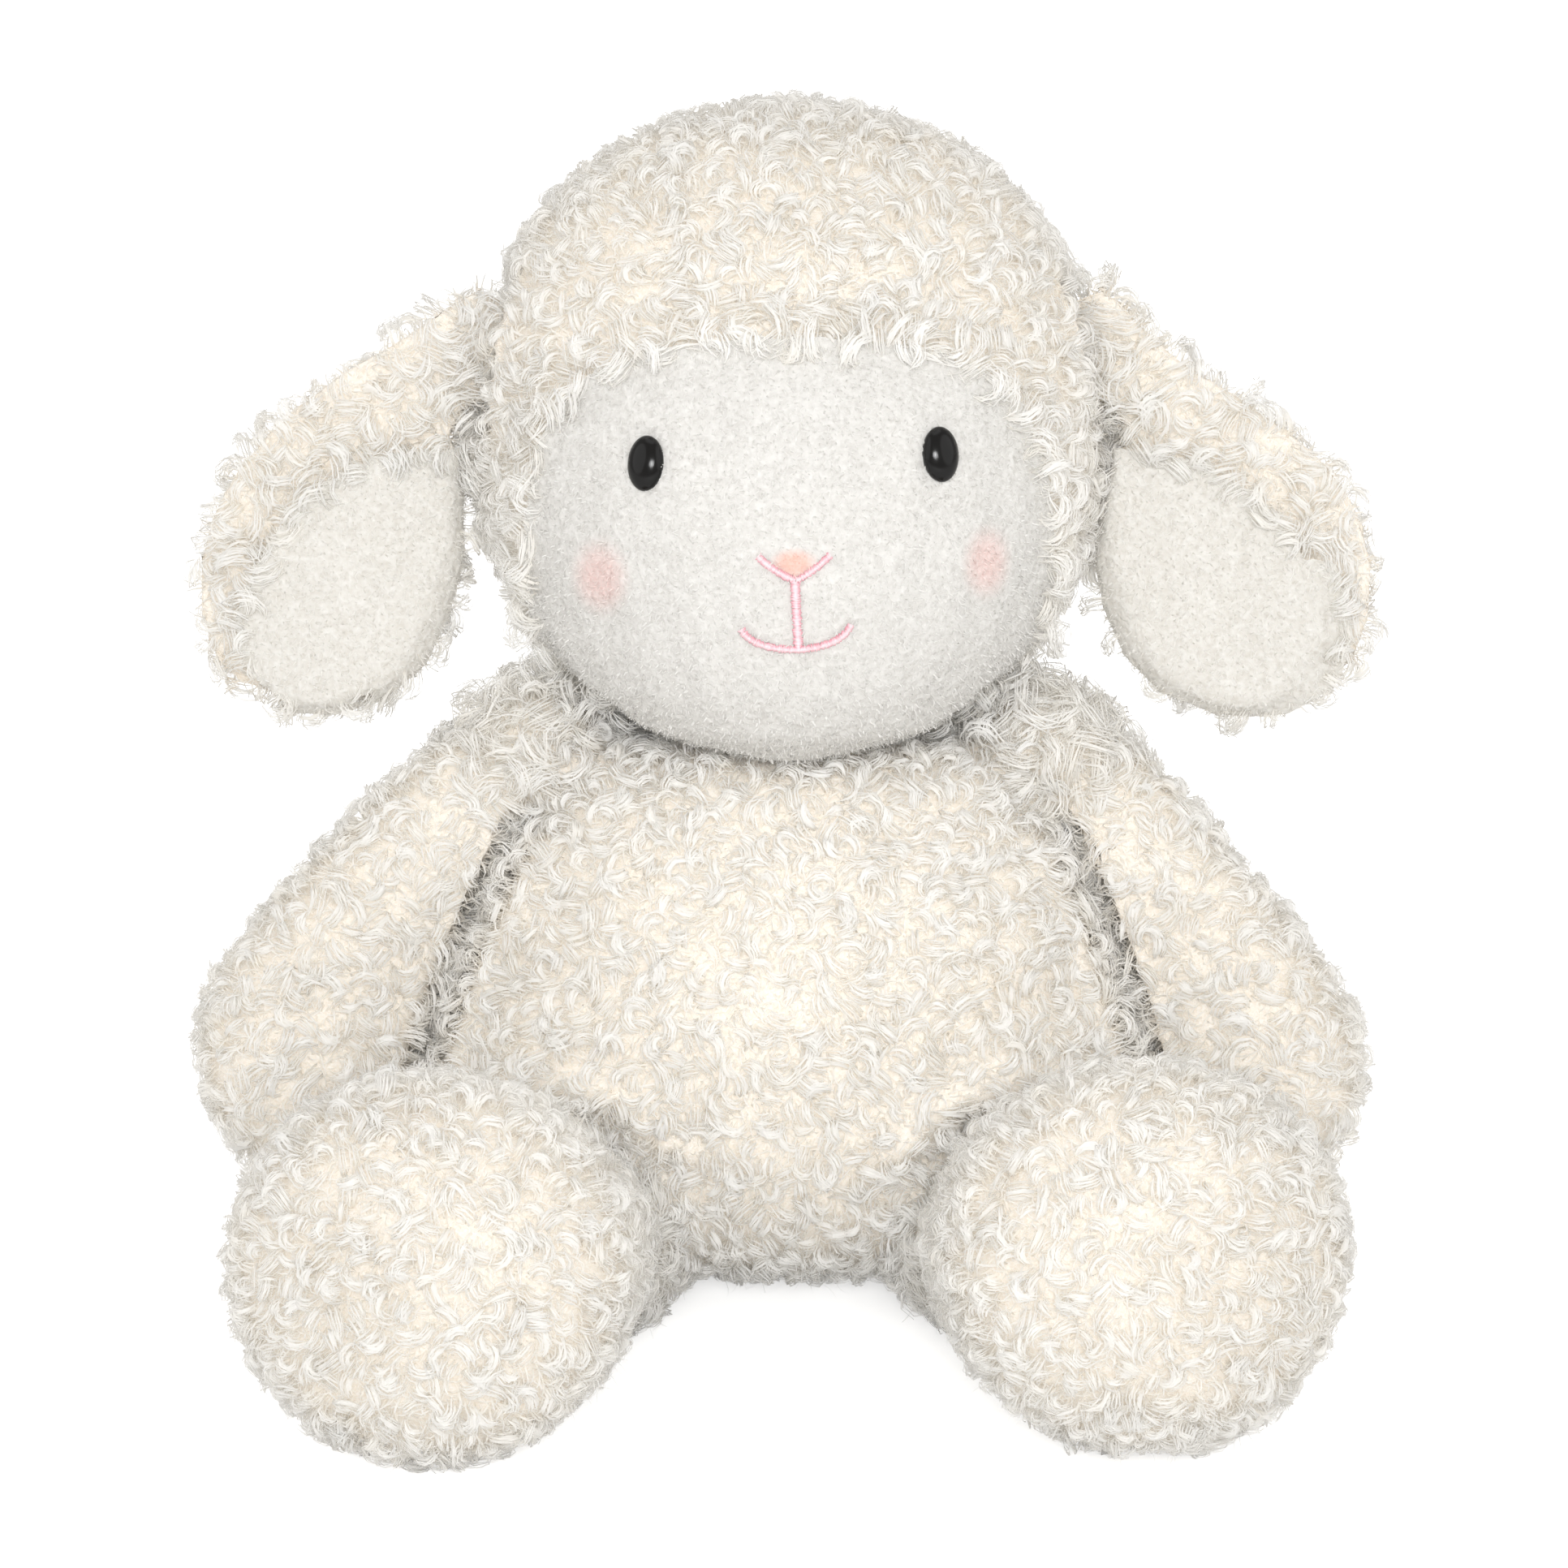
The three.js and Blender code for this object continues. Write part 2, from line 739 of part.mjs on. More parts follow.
function washerPocket() {
  const [low, high] = washerSpan();
  const mouth = high + washerSeat + woolThickness;
  return rod(washerRadius + seamGap, low - seamGap, mouth, washerSegments);
}

// A round thread along a path on the face
function thread(places) {
  const points = places.map(([x, z]) => {
    const { point, normal } = onFace(x, z);
    return point.addScaledVector(normal, threadRadius + seamGap);
  });
  const path = new THREE.CatmullRomCurve3(points);
  const section = new THREE.Shape();
  section.absellipse(0, 0, threadRadius, threadRadius, 0, 2 * Math.PI, false, 0);
  const steps = threadStepsPerPlace * places.length;
  const options = { extrudePath: path, steps, bevelEnabled: false, curveSegments: threadSegments };
  return solidOf(new THREE.ExtrudeGeometry(section, options));
}

function noseStitching() {
  const rise = noseTopHeight - noseLowHeight;
  const arms = Object.values(sides).map((sign) => {
    const outward = noseArmShares.map(([across, up]) => [
      muzzleX + across * sign * noseHalfWidth,
      noseLowHeight + up * rise,
    ]);
    return thread([[muzzleX - (sign * threadRadius) / 2, noseLowHeight], ...outward]);
  });
  return mesh("nose_stitching", arms[0].add(arms[1]), pinkThread);
}

function mouthStitching() {
  const rise = mouthTipHeight - mouthLowHeight;
  const places = smileShares.map((share) => [
    muzzleX + share * mouthHalfWidth,
    mouthLowHeight + rise * share ** 2,
  ]);
  const smile = thread(places);
  const top = noseLowHeight - 2 * threadRadius - 2 * seamGap;
  const line = thread([
    [muzzleX, top],
    [muzzleX, (top + mouthLowHeight) / 2],
    [muzzleX, mouthLowHeight],
  ]);
  return mesh("mouth_stitching", smile.add(line), pinkThread);
}

function headSolid(inset, faces) {
  return solidOf(softForm(headForm, inset, ...faces));
}

// The slot in the side of the head that an ear's root turns in
function earSlots() {
  const radius = earRootRadius + seatGap;
  const slots = Object.values(sides).map((sign) => {
    const slot = rod(radius, -earBackBulge - seatGap, earFrontBulge + seatGap, ballSegments);
    const turned = geometryOf(slot).rotateX(degrees(90));
    return solidOf(turned.translate(sign * earPivotX, earPivotY, earPivotHeight));
  });
  return slots[0].add(slots[1]);
}

// The room that the body and shoulders need under the head, at every corner of the head's turn and nod
function bodyRoom() {
  const shoulders = Object.values(sides).map((sign) => {
    const geometry = new THREE.SphereGeometry(shoulderRadius + fillingSeatGap, ...shoulderFaces);
    return geometry.translate(sign * shoulderX, shoulderY, shoulderZ);
  });
  const corners = [-1, 0, 1].flatMap((turn) => [-1, 0, 1].map((nod) => [turn, nod]));
  const rooms = corners.flatMap(([turn, nod]) =>
    [softForm(bodyForm, -seamGap, ...outerFaces), ...shoulders].map((form) => {
      const geometry = form.clone().translate(0, -neckPivotY, -neckPivotZ);
      geometry.rotateZ(degrees(-turn * headTurnLimit)).rotateX(degrees(-nod * headNodLimit));
      return solidOf(geometry);
    }),
  );
  return rooms.reduce((all, room) => all.add(room));
}

function headPieces() {
  const neck = ball(neckBallRadius + seatGap, 0, 0, 0, neckSegments);
  const cuts = neck.add(earSlots()).add(bodyRoom());
  const inner = headSolid(woolThickness, innerFaces);
  const woolCover = headSolid(0, outerFaces).subtract(inner).subtract(cuts).subtract(faceCut(seamGap));
  const eyes = Object.keys(sides).map((side) => eyePlace(side));
  const posts = eyes.map((place) => carried(eyePost(seamGap, overrun), place));
  const face = headSolid(facePileDrop, outerFaces).subtract(inner).subtract(cuts).intersect(faceCut(0));
  const reach = headHigh + headHalfWidth;
  const edge = gussetHalfWidth + seamGap / 2;
  const inside = gussetHalfWidth - seamGap / 2;
  const crown = block([-inside, -reach, 0], [inside, reach, reach]);
  const leftSide = block([-reach, -reach, 0], [-edge, reach, reach]);
  const rightSide = block([edge, -reach, 0], [reach, reach, reach]);
  const pockets = eyes.map((place) => carried(washerPocket(), place));
  const filling = headSolid(woolThickness + seamGap, innerFaces).subtract(cuts);
  const emptied = [...posts, ...pockets].reduce((rest, hole) => rest.subtract(hole), filling);
  const pierced = posts.reduce((rest, hole) => rest.subtract(hole), face);
  return [
    mesh("face_panel", biggestOf(pierced), shortPile),
    mesh("head_gusset", biggestOf(woolCover.intersect(crown)), wool),
    mesh("head_left_panel", biggestOf(woolCover.intersect(leftSide)), wool),
    mesh("head_right_panel", biggestOf(woolCover.intersect(rightSide)), wool),
    mesh("head_filling", biggestOf(emptied), polyesterFill),
    noseStitching(),
    mouthStitching(),
  ];
}

function eyePieces(side) {
  const place = eyePlace(side);
  place.add(mesh(side + "_eye", eyeSolid(), blackPlastic));
  place.add(mesh(side + "_eye_washer", washerSolid(), whitePlastic));
  return place;
}

function earOutline(shares, side) {
  return shares.map(([out, up]) => new THREE.Vector3(sides[side] * out * earWidth, 0, up * earLength));
}

// A pillow whose outline runs the same way round on both sides of the toy
function earPillow(shares, side, frontBulge, backBulge, inset) {
  const outline = earOutline(shares, side);
  return pillow(side === "right" ? outline : outline.reverse(), frontBulge, backBulge, inset, ...earFaces);
}

function earPieces(side, hangAngle) {
  const place = new THREE.Group();
  place.position.set(sides[side] * earPivotX, earPivotY, earPivotHeight);
  place.rotation.y = degrees(sides[side] * hangAngle);
  const head = softForm(headForm, -seamGap, ...outerFaces);
  const axis = new THREE.Vector3(0, -sides[side], 0);
  const disc = rod(earRootRadius, -earBackBulge, earFrontBulge, ballSegments);
  const root = geometryOf(disc).rotateX(degrees(90));
  const flap = solidOf(earPillow(earOutlineShares, side, earFrontBulge, earBackBulge, 0));
  const free = clearOf(flap, head, place, axis, [-earDropLimit, earLiftLimit]);
  const whole = flap.intersect(solidOf(root)).add(free);
  const liningY = -(earFrontBulge - liningDepth);
  const lining = earPillow(liningOutlineShares, side, liningThickness / 2, liningThickness / 2, 0);
  lining.translate(0, liningY, 0);
  const hollow = earPillow(liningOutlineShares, side, overrun, liningThickness / 2 + seamGap, -seamGap);
  hollow.translate(0, liningY, 0);
  place.add(mesh(side + "_ear_back", biggestOf(whole.subtract(solidOf(hollow))), wool));
  place.add(mesh(side + "_ear_lining", solidOf(lining), liningPile));
  return place;
}

function limbSolid(form, rootRadius, inset) {
  const root = ball(rootRadius - inset, 0, 0, 0, innerBallSegments);
  return solidOf(softForm(form, inset, ...limbInnerFaces)).add(root);
}

function armPieces(side, angle, bow) {
  const place = armPlace(side, angle);
  const body = softForm(bodyForm, -seamGap, ...outerFaces);
  const hung = legPlace(side);
  hung.updateMatrix();
  const leg = softForm(legForm, -seamGap, ...limbFaces).applyMatrix4(hung.matrix);
  const axis = new THREE.Vector3(-1, 0, 0);
  const limits = [-armBackLimit, armForwardLimit];
  const form = { ...armForm, bow: -sides[side] * bow };
  const whole = solidOf(softForm(form, 0, ...limbFaces));
  const root = ball(shoulderRadius, 0, 0, 0, ballSegments);
  const clear = clearOf(clearOf(whole, body, place, axis, limits), leg, place, axis, limits);
  const outer = clear.add(root);
  const inner = limbSolid(form, shoulderRadius, woolThickness);
  const cover = outer.subtract(inner);
  const filling = limbSolid(form, shoulderRadius, woolThickness + seamGap).intersect(outer);
  const reach = armLength + overrun;
  const half = seamGap / 2;
  const front = block([-reach, -reach, -reach], [reach, -half, reach]);
  const back = block([-reach, half, -reach], [reach, reach, reach]);
  place.add(mesh(side + "_arm_front_panel", biggestOf(cover.intersect(front)), wool));
  place.add(mesh(side + "_arm_back_panel", biggestOf(cover.intersect(back)), wool));
  place.add(mesh(side + "_arm_filling", biggestOf(filling), polyesterFill));
  return place;
}

// What lies under the floor, in the frame of a limb that hangs on the upright toy
function groundUnder(place) {
  const reach = bodyHeight + legLength;
  const ground = geometryOf(block([-reach, -reach, -reach], [reach, reach, 0]));
  ground.rotateX(degrees(leanAngle)).translate(0, 0, seatRise);
  ground.translate(...place.position.clone().negate().toArray());
  return solidOf(ground.applyQuaternion(place.quaternion.clone().invert()));
}

function legPieces(side) {
  const place = legPlace(side);
  const body = softForm(bodyForm, -seamGap, ...outerFaces);
  const axis = new THREE.Vector3(-1, 0, 0);
  const limits = [-legDownLimit, legUpLimit];
  const whole = solidOf(softForm(legForm, 0, ...limbFaces)).subtract(groundUnder(place));
  const root = ball(hipRadius, 0, 0, 0, ballSegments);
  const outer = clearOf(whole, body, place, axis, limits).add(root);
  const inner = limbSolid(legForm, hipRadius, woolThickness);
  const cover = outer.subtract(inner);
  const filling = limbSolid(legForm, hipRadius, woolThickness + seamGap).intersect(outer);
  const reach = legLength + overrun;
  const seam = legLength - solePanelDepth;
  const behind = block([-reach, -reach, -reach], [reach, reach, seam - seamGap / 2]);
  const ahead = block([-reach, -reach, seam + seamGap / 2], [reach, reach, reach]);
  place.add(mesh(side + "_leg_cover", biggestOf(cover.intersect(behind)), wool));
  place.add(mesh(side + "_sole", biggestOf(cover.intersect(ahead)), wool));
  place.add(mesh(side + "_leg_filling", biggestOf(filling), polyesterFill));
  return place;
}

function tailPiece() {
  const place = tailPlace();
  const body = softForm(bodyForm, -seamGap, ...outerFaces);
  const whole = solidOf(softForm(tailForm, 0, ...limbInnerFaces));
  const axis = new THREE.Vector3(0, 0, 1);
  const cleared = clearOf(whole, body, place, axis, [-tailWagLimit, tailWagLimit]);
  const root = ball(tailRootRadius, 0, 0, 0, ballSegments);
  place.add(mesh("tail", cleared.add(root), wool));
  return place;
}

const head = new THREE.Group();
head.position.set(0, neckPivotY, neckPivotZ);
head.add(neckFilling());
head.add(...headPieces());
head.add(eyePieces("left"), eyePieces("right"));
head.add(earPieces("left", leftEarHangAngle), earPieces("right", rightEarHangAngle));

const upright = new THREE.Group();
upright.add(head);
upright.add(armPieces("left", leftArmAngle, leftArmBow), armPieces("right", rightArmAngle, rightArmBow));
upright.add(legPieces("left"), legPieces("right"));
upright.add(tailPiece());
upright.rotation.x = degrees(-leanAngle);
upright.position.set(0, 0, -seatRise).applyEuler(upright.rotation);
upright.position.y -= seatSetback;

const sheep = new THREE.Group();
sheep.add(...bodyPieces());
sheep.add(upright);

export default sheep;
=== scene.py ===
import collections
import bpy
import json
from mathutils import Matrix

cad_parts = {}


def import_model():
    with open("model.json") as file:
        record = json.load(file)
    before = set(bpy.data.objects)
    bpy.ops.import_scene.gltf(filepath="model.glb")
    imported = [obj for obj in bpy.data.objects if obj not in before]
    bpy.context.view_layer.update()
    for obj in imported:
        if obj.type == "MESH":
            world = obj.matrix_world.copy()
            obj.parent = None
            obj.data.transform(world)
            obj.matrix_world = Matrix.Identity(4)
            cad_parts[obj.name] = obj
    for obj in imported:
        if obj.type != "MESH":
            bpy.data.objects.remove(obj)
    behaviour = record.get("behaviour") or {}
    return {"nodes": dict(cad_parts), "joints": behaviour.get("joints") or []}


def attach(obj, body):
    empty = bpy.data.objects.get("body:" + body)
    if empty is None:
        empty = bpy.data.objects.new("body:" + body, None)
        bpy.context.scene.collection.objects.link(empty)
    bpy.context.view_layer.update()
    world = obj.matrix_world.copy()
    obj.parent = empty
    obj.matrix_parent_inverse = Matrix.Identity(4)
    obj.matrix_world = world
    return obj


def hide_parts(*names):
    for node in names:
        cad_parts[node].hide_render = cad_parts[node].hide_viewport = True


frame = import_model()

import copy
import itertools
import math

import bmesh
import bpy
import numpy as np
from mathutils import Vector
from mathutils.bvhtree import BVHTree
from mathutils.kdtree import KDTree

NODES = frame["nodes"]
JOINTS = {joint["name"]: joint for joint in frame["joints"]}
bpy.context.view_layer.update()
MM = 0.001
FLOOR = 0.0003

# Wool and pile: the backing's depth, the spacing of short hairs, how far wool hangs over a bare panel,
# and how deep in another piece it is left out
BACKING_DEPTH = 3.2 * MM
UNDERFUR_SPACING = 0.92 * MM
OVERLAP = 1.3 * MM
HIDDEN_DEPTH = 4 * MM
HAIR_SPACING = 0.9 * MM
PILE_LEVELS = 2
MOST_TRIANGLES = 195000

# Eyes: a dome on a short stem that is sunk into the face
EYE_HALF_WIDTH, EYE_HALF_HEIGHT, EYE_DOME = 3.35 * MM, 4.85 * MM, 2.2 * MM
EYE_RAISED, EYE_SUNK = 0.6 * MM, 1.6 * MM
EYE_SIDES, EYE_RINGS = 48, 16

# Stitches: the widths of nose and mouth, the pitch of the threads, and a thread's radius and rise
LINE_WIDTH, STEM_WIDTH, PITCH = 1.35 * MM, 1.6 * MM, 0.21 * MM
THREAD_RADIUS, THREAD_RISE = 0.13 * MM, 0.42 * MM
THREAD_SIDES, THREAD_RINGS = 6, 7

# Stuffing: the cloth's cell, its steps, the height up to which the floor holds it, and the most
# that the filling pushes a cover out, by itself and toward a limb that lies close
CLOTH_VOXEL = 4.5 * MM
CLOTH_FRAMES = 20
HELD_BELOW = 8 * MM
MOST_SWELL = 1.1 * MM
MOST_SETTLING = 4.2 * MM

# Colours: the wool by height, darker and warmer low down as painted shade and near white at its top as
# painted highlight, and by random tone; its backing, darker as painted shade deep in the wool; the thread,
# with painted highlight and shade; the eyes and the face
WOOL_PAINTED_SHADE = (0.965, 0.87, 0.75, 1)
WOOL_LOW = (0.99, 0.96, 0.905, 1)
WOOL_PAINTED_HIGHLIGHT = (0.998, 0.996, 0.991, 1)
WOOL_COOL = (0.955, 0.965, 0.985, 1)
WOOL_WARM = (0.99, 0.96, 0.9, 1)
WOOL_THROUGH = (0.995, 0.985, 0.958, 1)
BACKING_DARK = (0.89, 0.815, 0.715, 1)
BACKING_PALE = (0.97, 0.935, 0.88, 1)
THREAD_CENTRE = (0.97, 0.74, 0.78, 1)
THREAD_EDGE = (0.84, 0.25, 0.34, 1)
THREAD_SHINE = (0.98, 0.82, 0.84, 1)
EYE_BLACK = (0.002, 0.002, 0.002, 1)
EYE_WORN = (0.005, 0.0045, 0.0045, 1)
BLUSH = (0.9, 0.5, 0.46, 1)
PEACH = (0.93, 0.48, 0.38, 1)

# Ears, on the upright toy: the root that they bend about, the middle of the lining, how far each one's
# lining reaches past its cut, and how much each ear sinks, swings, widens and shortens
EAR_OUT, EAR_UP = 56 * MM, 188 * MM
LINING_OUT, LINING_UP = 79.4 * MM, 143 * MM
LINING_REACH, OUTER_REACH = 6 * MM, 4 * MM
EAR_HANG = {"left": (5 * MM, 0.0, 1.0, 0.965), "right": (8 * MM, math.radians(1), 1.06, 0.935)}

# How far the chin sags, and the face panel's backing under its short pile
CHIN_SAG = 3.2 * MM
PILE_BACKING_DEPTH = 1.2 * MM

# Radii of the balls that the limbs, the tail and the neck leave hollows for
ARM_BALL, LEG_BALL, TAIL_BALL, NECK_BALL = 15.5 * MM, 21 * MM, 8 * MM, 34 * MM

# Studio: a floor and a background that the camera sees as white, warm light all round, cool lamps
FLOOR_COLOUR, FLOOR_GLOW = (0.96, 0.96, 0.96, 1), 0.56
WORLD_COLOUR, WORLD_STRENGTH = (1, 0.97, 0.925, 1), 0.52
LAMP_COLOUR = (0.98, 0.99, 1)

# How the toy leans back from the upright one that the places on its face are measured on
LEAN = math.radians(14)
SEAT_RISE = 21 * MM
SEAT_SETBACK = 18 * MM


# Small tools


def normalised(vectors):
    length = np.linalg.norm(vectors, axis=-1, keepdims=True)
    return vectors / np.maximum(length, 1e-12)


def smoothstep(low, high, value):
    t = np.clip((value - low) / (high - low), 0, 1)
    return t * t * (3 - 2 * t)


def leaned_way(x, y, z):
    """A direction of the upright toy, on the leaning one."""
    c, s = math.cos(LEAN), math.sin(LEAN)
    return np.array([x, y * c + z * s, z * c - y * s])


def raised(points):
    """Points of the leaning toy, on the upright one."""
    c, s = math.cos(LEAN), math.sin(LEAN)
    x, y, z = points[:, 0], points[:, 1] + SEAT_SETBACK, points[:, 2]
    return np.stack([x, y * c - z * s, z * c + y * s + SEAT_RISE], axis=1)


def lowered(points):
    """Points of the upright toy, on the leaning one."""
    c, s = math.cos(LEAN), math.sin(LEAN)
    x, y, z = points[:, 0], points[:, 1], points[:, 2] - SEAT_RISE
    return np.stack([x, y * c + z * s - SEAT_SETBACK, z * c - y * s], axis=1)


def leaned(x, y, z):
    """A place on the upright toy, on the leaning one."""
    return lowered(np.array([[x, y, z]], float))[0]


def lattice(cells, seed):
    """A pseudo-random value from 0 to 1 for each whole-numbered cell."""
    x, y, z = (cells[..., k].astype(np.int64) for k in range(3))
    h = (x * 374761393 + y * 668265263 + z * 2147483647 + seed * 974634777) & 0xFFFFFFFF
    h = ((h ^ (h >> 13)) * 1274126177) & 0xFFFFFFFF
    h = ((h ^ (h >> 16)) * 2246822519) & 0xFFFFFFFF
    return ((h ^ (h >> 15)) & 0xFFFFFF) / float(0xFFFFFF)


def noise(points, size, seed):
    """Smooth value noise from -1 to 1, with features of about that size."""
    scaled = points / size
    base = np.floor(scaled)
    f = scaled - base
    f = f * f * (3 - 2 * f)
    total = 0
    for corner in itertools.product((0, 1), repeat=3):
        x, y, z = (f[..., k] if corner[k] else 1 - f[..., k] for k in range(3))
        total = total + x * y * z * lattice(base + np.array(corner), seed)
    return 2 * total - 1


def values_of(items, key, count, kind=np.float32):
    """One array of a mesh property, read from all its vertices, edges or faces."""
    out = np.empty(count, kind)
    items.foreach_get(key, out)
    return out


def coordinates(mesh):
    return values_of(mesh.vertices, "co", len(mesh.vertices) * 3).reshape(-1, 3).astype(float)


def vertex_normals(mesh):
    return values_of(mesh.vertex_normals, "vector", len(mesh.vertices) * 3).reshape(-1, 3).astype(float)


def triangles_of(mesh):
    return values_of(mesh.polygons, "vertices", len(mesh.polygons) * 3, np.int32).reshape(-1, 3)


def place_vertices(mesh, points):
    mesh.vertices.foreach_set("co", points.astype(np.float32).ravel())
    mesh.update()


def to_mesh(bm, mesh):
    bm.to_mesh(mesh)
    bm.free()
    return mesh


def carry(mesh, name, values):
    """Gives each point of a mesh a value that its material reads."""
    mesh.attributes.new(name, "FLOAT", "POINT").data.foreach_set("value", np.asarray(values, np.float32))


def triangle_areas(corners):
    return np.linalg.norm(np.cross(corners[:, 1] - corners[:, 0], corners[:, 2] - corners[:, 0]), axis=1) / 2


def new_mesh(name, points, faces, uv=None, **values):
    """A smooth mesh from arrays: faces has one row of corner numbers per face."""
    mesh = bpy.data.meshes.new(name)
    sides = faces.shape[1]
    mesh.vertices.add(len(points))
    mesh.vertices.foreach_set("co", points.astype(np.float32).ravel())
    mesh.loops.add(faces.size)
    mesh.loops.foreach_set("vertex_index", faces.astype(np.int32).ravel())
    mesh.polygons.add(len(faces))
    mesh.polygons.foreach_set("loop_start", np.arange(0, faces.size, sides, dtype=np.int32))
    mesh.update(calc_edges=True)
    mesh.shade_smooth()
    if uv is not None:
        layer = mesh.uv_layers.new(name="OFBake")
        layer.data.foreach_set("uv", uv[faces.ravel()].astype(np.float32).ravel())
    for key, value in values.items():
        carry(mesh, key, value)
    return mesh


def new_object(name, mesh, body, material, slot, *nodes):
    made = bpy.data.objects.new(name, mesh)
    bpy.context.scene.collection.objects.link(made)
    mesh.materials.clear()
    mesh.materials.append(material)
    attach(made, body)
    if nodes:
        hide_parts(*nodes)
    return made


def with_modifier(mesh, kind, **settings):
    """The mesh as one modifier leaves it."""
    holder = bpy.data.objects.new("holder", mesh)
    bpy.context.scene.collection.objects.link(holder)
    modifier = holder.modifiers.new("step", kind)
    for key, value in settings.items():
        setattr(modifier, key, value)
    depsgraph = bpy.context.evaluated_depsgraph_get()
    made = bpy.data.meshes.new_from_object(holder.evaluated_get(depsgraph))
    bpy.data.objects.remove(holder)
    return made


# Materials


def material(name):
    made = bpy.data.materials.new(name)
    made.use_nodes = True
    return made, made.node_tree, made.node_tree.nodes["Principled BSDF"]


def fed(tree, made, inputs):
    """Links or sets each named input of a node."""
    for key, value in inputs.items():
        if isinstance(value, bpy.types.NodeSocket):
            tree.links.new(value, made.inputs[key])
        else:
            made.inputs[key].default_value = value


def node(tree, kind, inputs=None, **settings):
    made = tree.nodes.new(kind)
    for key, value in settings.items():
        setattr(made, key, value)
    fed(tree, made, inputs or {})
    return made


def mixed(tree, factor, first, second):
    made = node(tree, "ShaderNodeMix", data_type="RGBA")
    fed(tree, made, {0: factor, 6: first, 7: second})
    return made.outputs[2]


def multiplied(tree, first, second):
    return node(tree, "ShaderNodeMath", {0: first, 1: second}, operation="MULTIPLY").outputs[0]


def ranged(tree, value, low, high, to_low=0.0, to_high=1.0):
    inputs = {"Value": value, 1: low, 2: high, 3: to_low, 4: to_high}
    return node(tree, "ShaderNodeMapRange", inputs, clamp=True).outputs[0]


def let_through(tree, shader, colour, share):
    """Thin fibres pass some of the light on to their far side."""
    through = node(tree, "ShaderNodeBsdfTranslucent", {"Color": colour})
    mix = node(tree, "ShaderNodeMixShader", {0: share, 1: shader.outputs[0], 2: through.outputs[0]})
    tree.links.new(mix.outputs[0], tree.nodes["Material Output"].inputs["Surface"])


def object_place(tree):
    return node(tree, "ShaderNodeTexCoord").outputs["Object"]


def carried(tree, name):
    """A value that the mesh carries at each point."""
    return node(tree, "ShaderNodeAttribute", attribute_name=name).outputs["Fac"]


def grained(tree, place, scale, detail, distortion=0.0):
    inputs = {"Vector": place, "Scale": scale, "Detail": detail, "Distortion": distortion}
    return node(tree, "ShaderNodeTexNoise", inputs).outputs["Fac"]


def bumped(tree, shader, grain, strength, distance):
    bump = node(tree, "ShaderNodeBump", {"Height": grain, "Strength": strength, "Distance": distance})
    tree.links.new(bump.outputs[0], shader.inputs["Normal"])


def wool_material():
    made, tree, shader = material("curly_wool")
    height, tone = carried(tree, "wool_height"), carried(tree, "wool_tone")
    # Painted shade: the wool is darker and warmer low down near its backing, and a painted highlight makes it
    # near white at its top; the tone gives random cool and warm locks.
    colour = mixed(tree, ranged(tree, height, -0.05, 0.2), WOOL_PAINTED_SHADE, WOOL_LOW)
    colour = mixed(tree, ranged(tree, height, 0.15, 0.6), colour, WOOL_PAINTED_HIGHLIGHT)
    colour = mixed(tree, ranged(tree, tone, 0.85, 1.0, 0.0, 0.4), colour, WOOL_COOL)
    colour = mixed(tree, ranged(tree, tone, 0.0, 0.2, 0.4, 0.0), colour, WOOL_WARM)
    fed(tree, shader, {"Base Color": colour, "Roughness": 0.45, "Specular IOR Level": 0.4})
    let_through(tree, shader, WOOL_THROUGH, 0.46)
    return made


def backing_material():
    made, tree, shader = material("wool_backing")
    grain = grained(tree, object_place(tree), 1300.0, 3.0, 1.5)
    # Darker and warmer than the wool: the backing's colour is painted shade deep in the wool, with a random
    # grain.
    colour = mixed(tree, ranged(tree, grain, 0.35, 0.65), BACKING_DARK, BACKING_PALE)
    fed(tree, shader, {"Base Color": colour, "Roughness": 0.9})
    bumped(tree, shader, grain, 0.6, 0.4 * MM)
    return made


def upright_place(tree):
    """The place of a point before the toy leaned back."""
    moved = (0.0, SEAT_SETBACK * math.cos(LEAN), SEAT_RISE + SEAT_SETBACK * math.sin(LEAN))
    inputs = {"Vector": object_place(tree), "Location": moved, "Rotation": (LEAN, 0, 0)}
    return node(tree, "ShaderNodeMapping", inputs).outputs[0]


def spot(tree, place, centre, half):
    """1 at a centre and 0 outside an oval round it, seen from the front."""
    moved = node(tree, "ShaderNodeVectorMath", {0: place, 1: (-centre[0], 0.0, -centre[1])}, operation="ADD")
    scale = (1 / half[0], 0.0, 1 / half[1])
    scaled = node(tree, "ShaderNodeVectorMath", {0: moved.outputs[0], 1: scale}, operation="MULTIPLY")
    length = node(tree, "ShaderNodeVectorMath", {0: scaled.outputs[0]}, operation="LENGTH")
    inputs = {"Value": length.outputs["Value"], 1: 0.25, 2: 1.0, 3: 1.0, 4: 0.0}
    return node(tree, "ShaderNodeMapRange", inputs, interpolation_type="SMOOTHSTEP").outputs[0]


def pile_material(name, low, high, blushes=()):
    made, tree, shader = material(name)
    place = upright_place(tree)
    grain = grained(tree, place, 2200.0, 2.0)
    # The pile is darker low down as painted shade and paler at the tops of its nubs and hairs as painted
    # highlight; the blush and peach spots are its own colour.
    colour = mixed(tree, ranged(tree, carried(tree, "pile_height"), 0.1, 0.8), low, high)
    for centre, half, tint, strength in blushes:
        amount = multiplied(tree, spot(tree, place, centre, half), strength)
        ragged = multiplied(tree, amount, ranged(tree, grain, 0.3, 0.7, 0.7, 1.15))
        colour = mixed(tree, ragged, colour, tint)
    fed(tree, shader, {"Base Color": colour, "Roughness": 0.85})
    fed(tree, shader, {"Specular IOR Level": 0.3, "Sheen Weight": 0.2})
    bumped(tree, shader, grain, 0.5, 0.3 * MM)
    return made


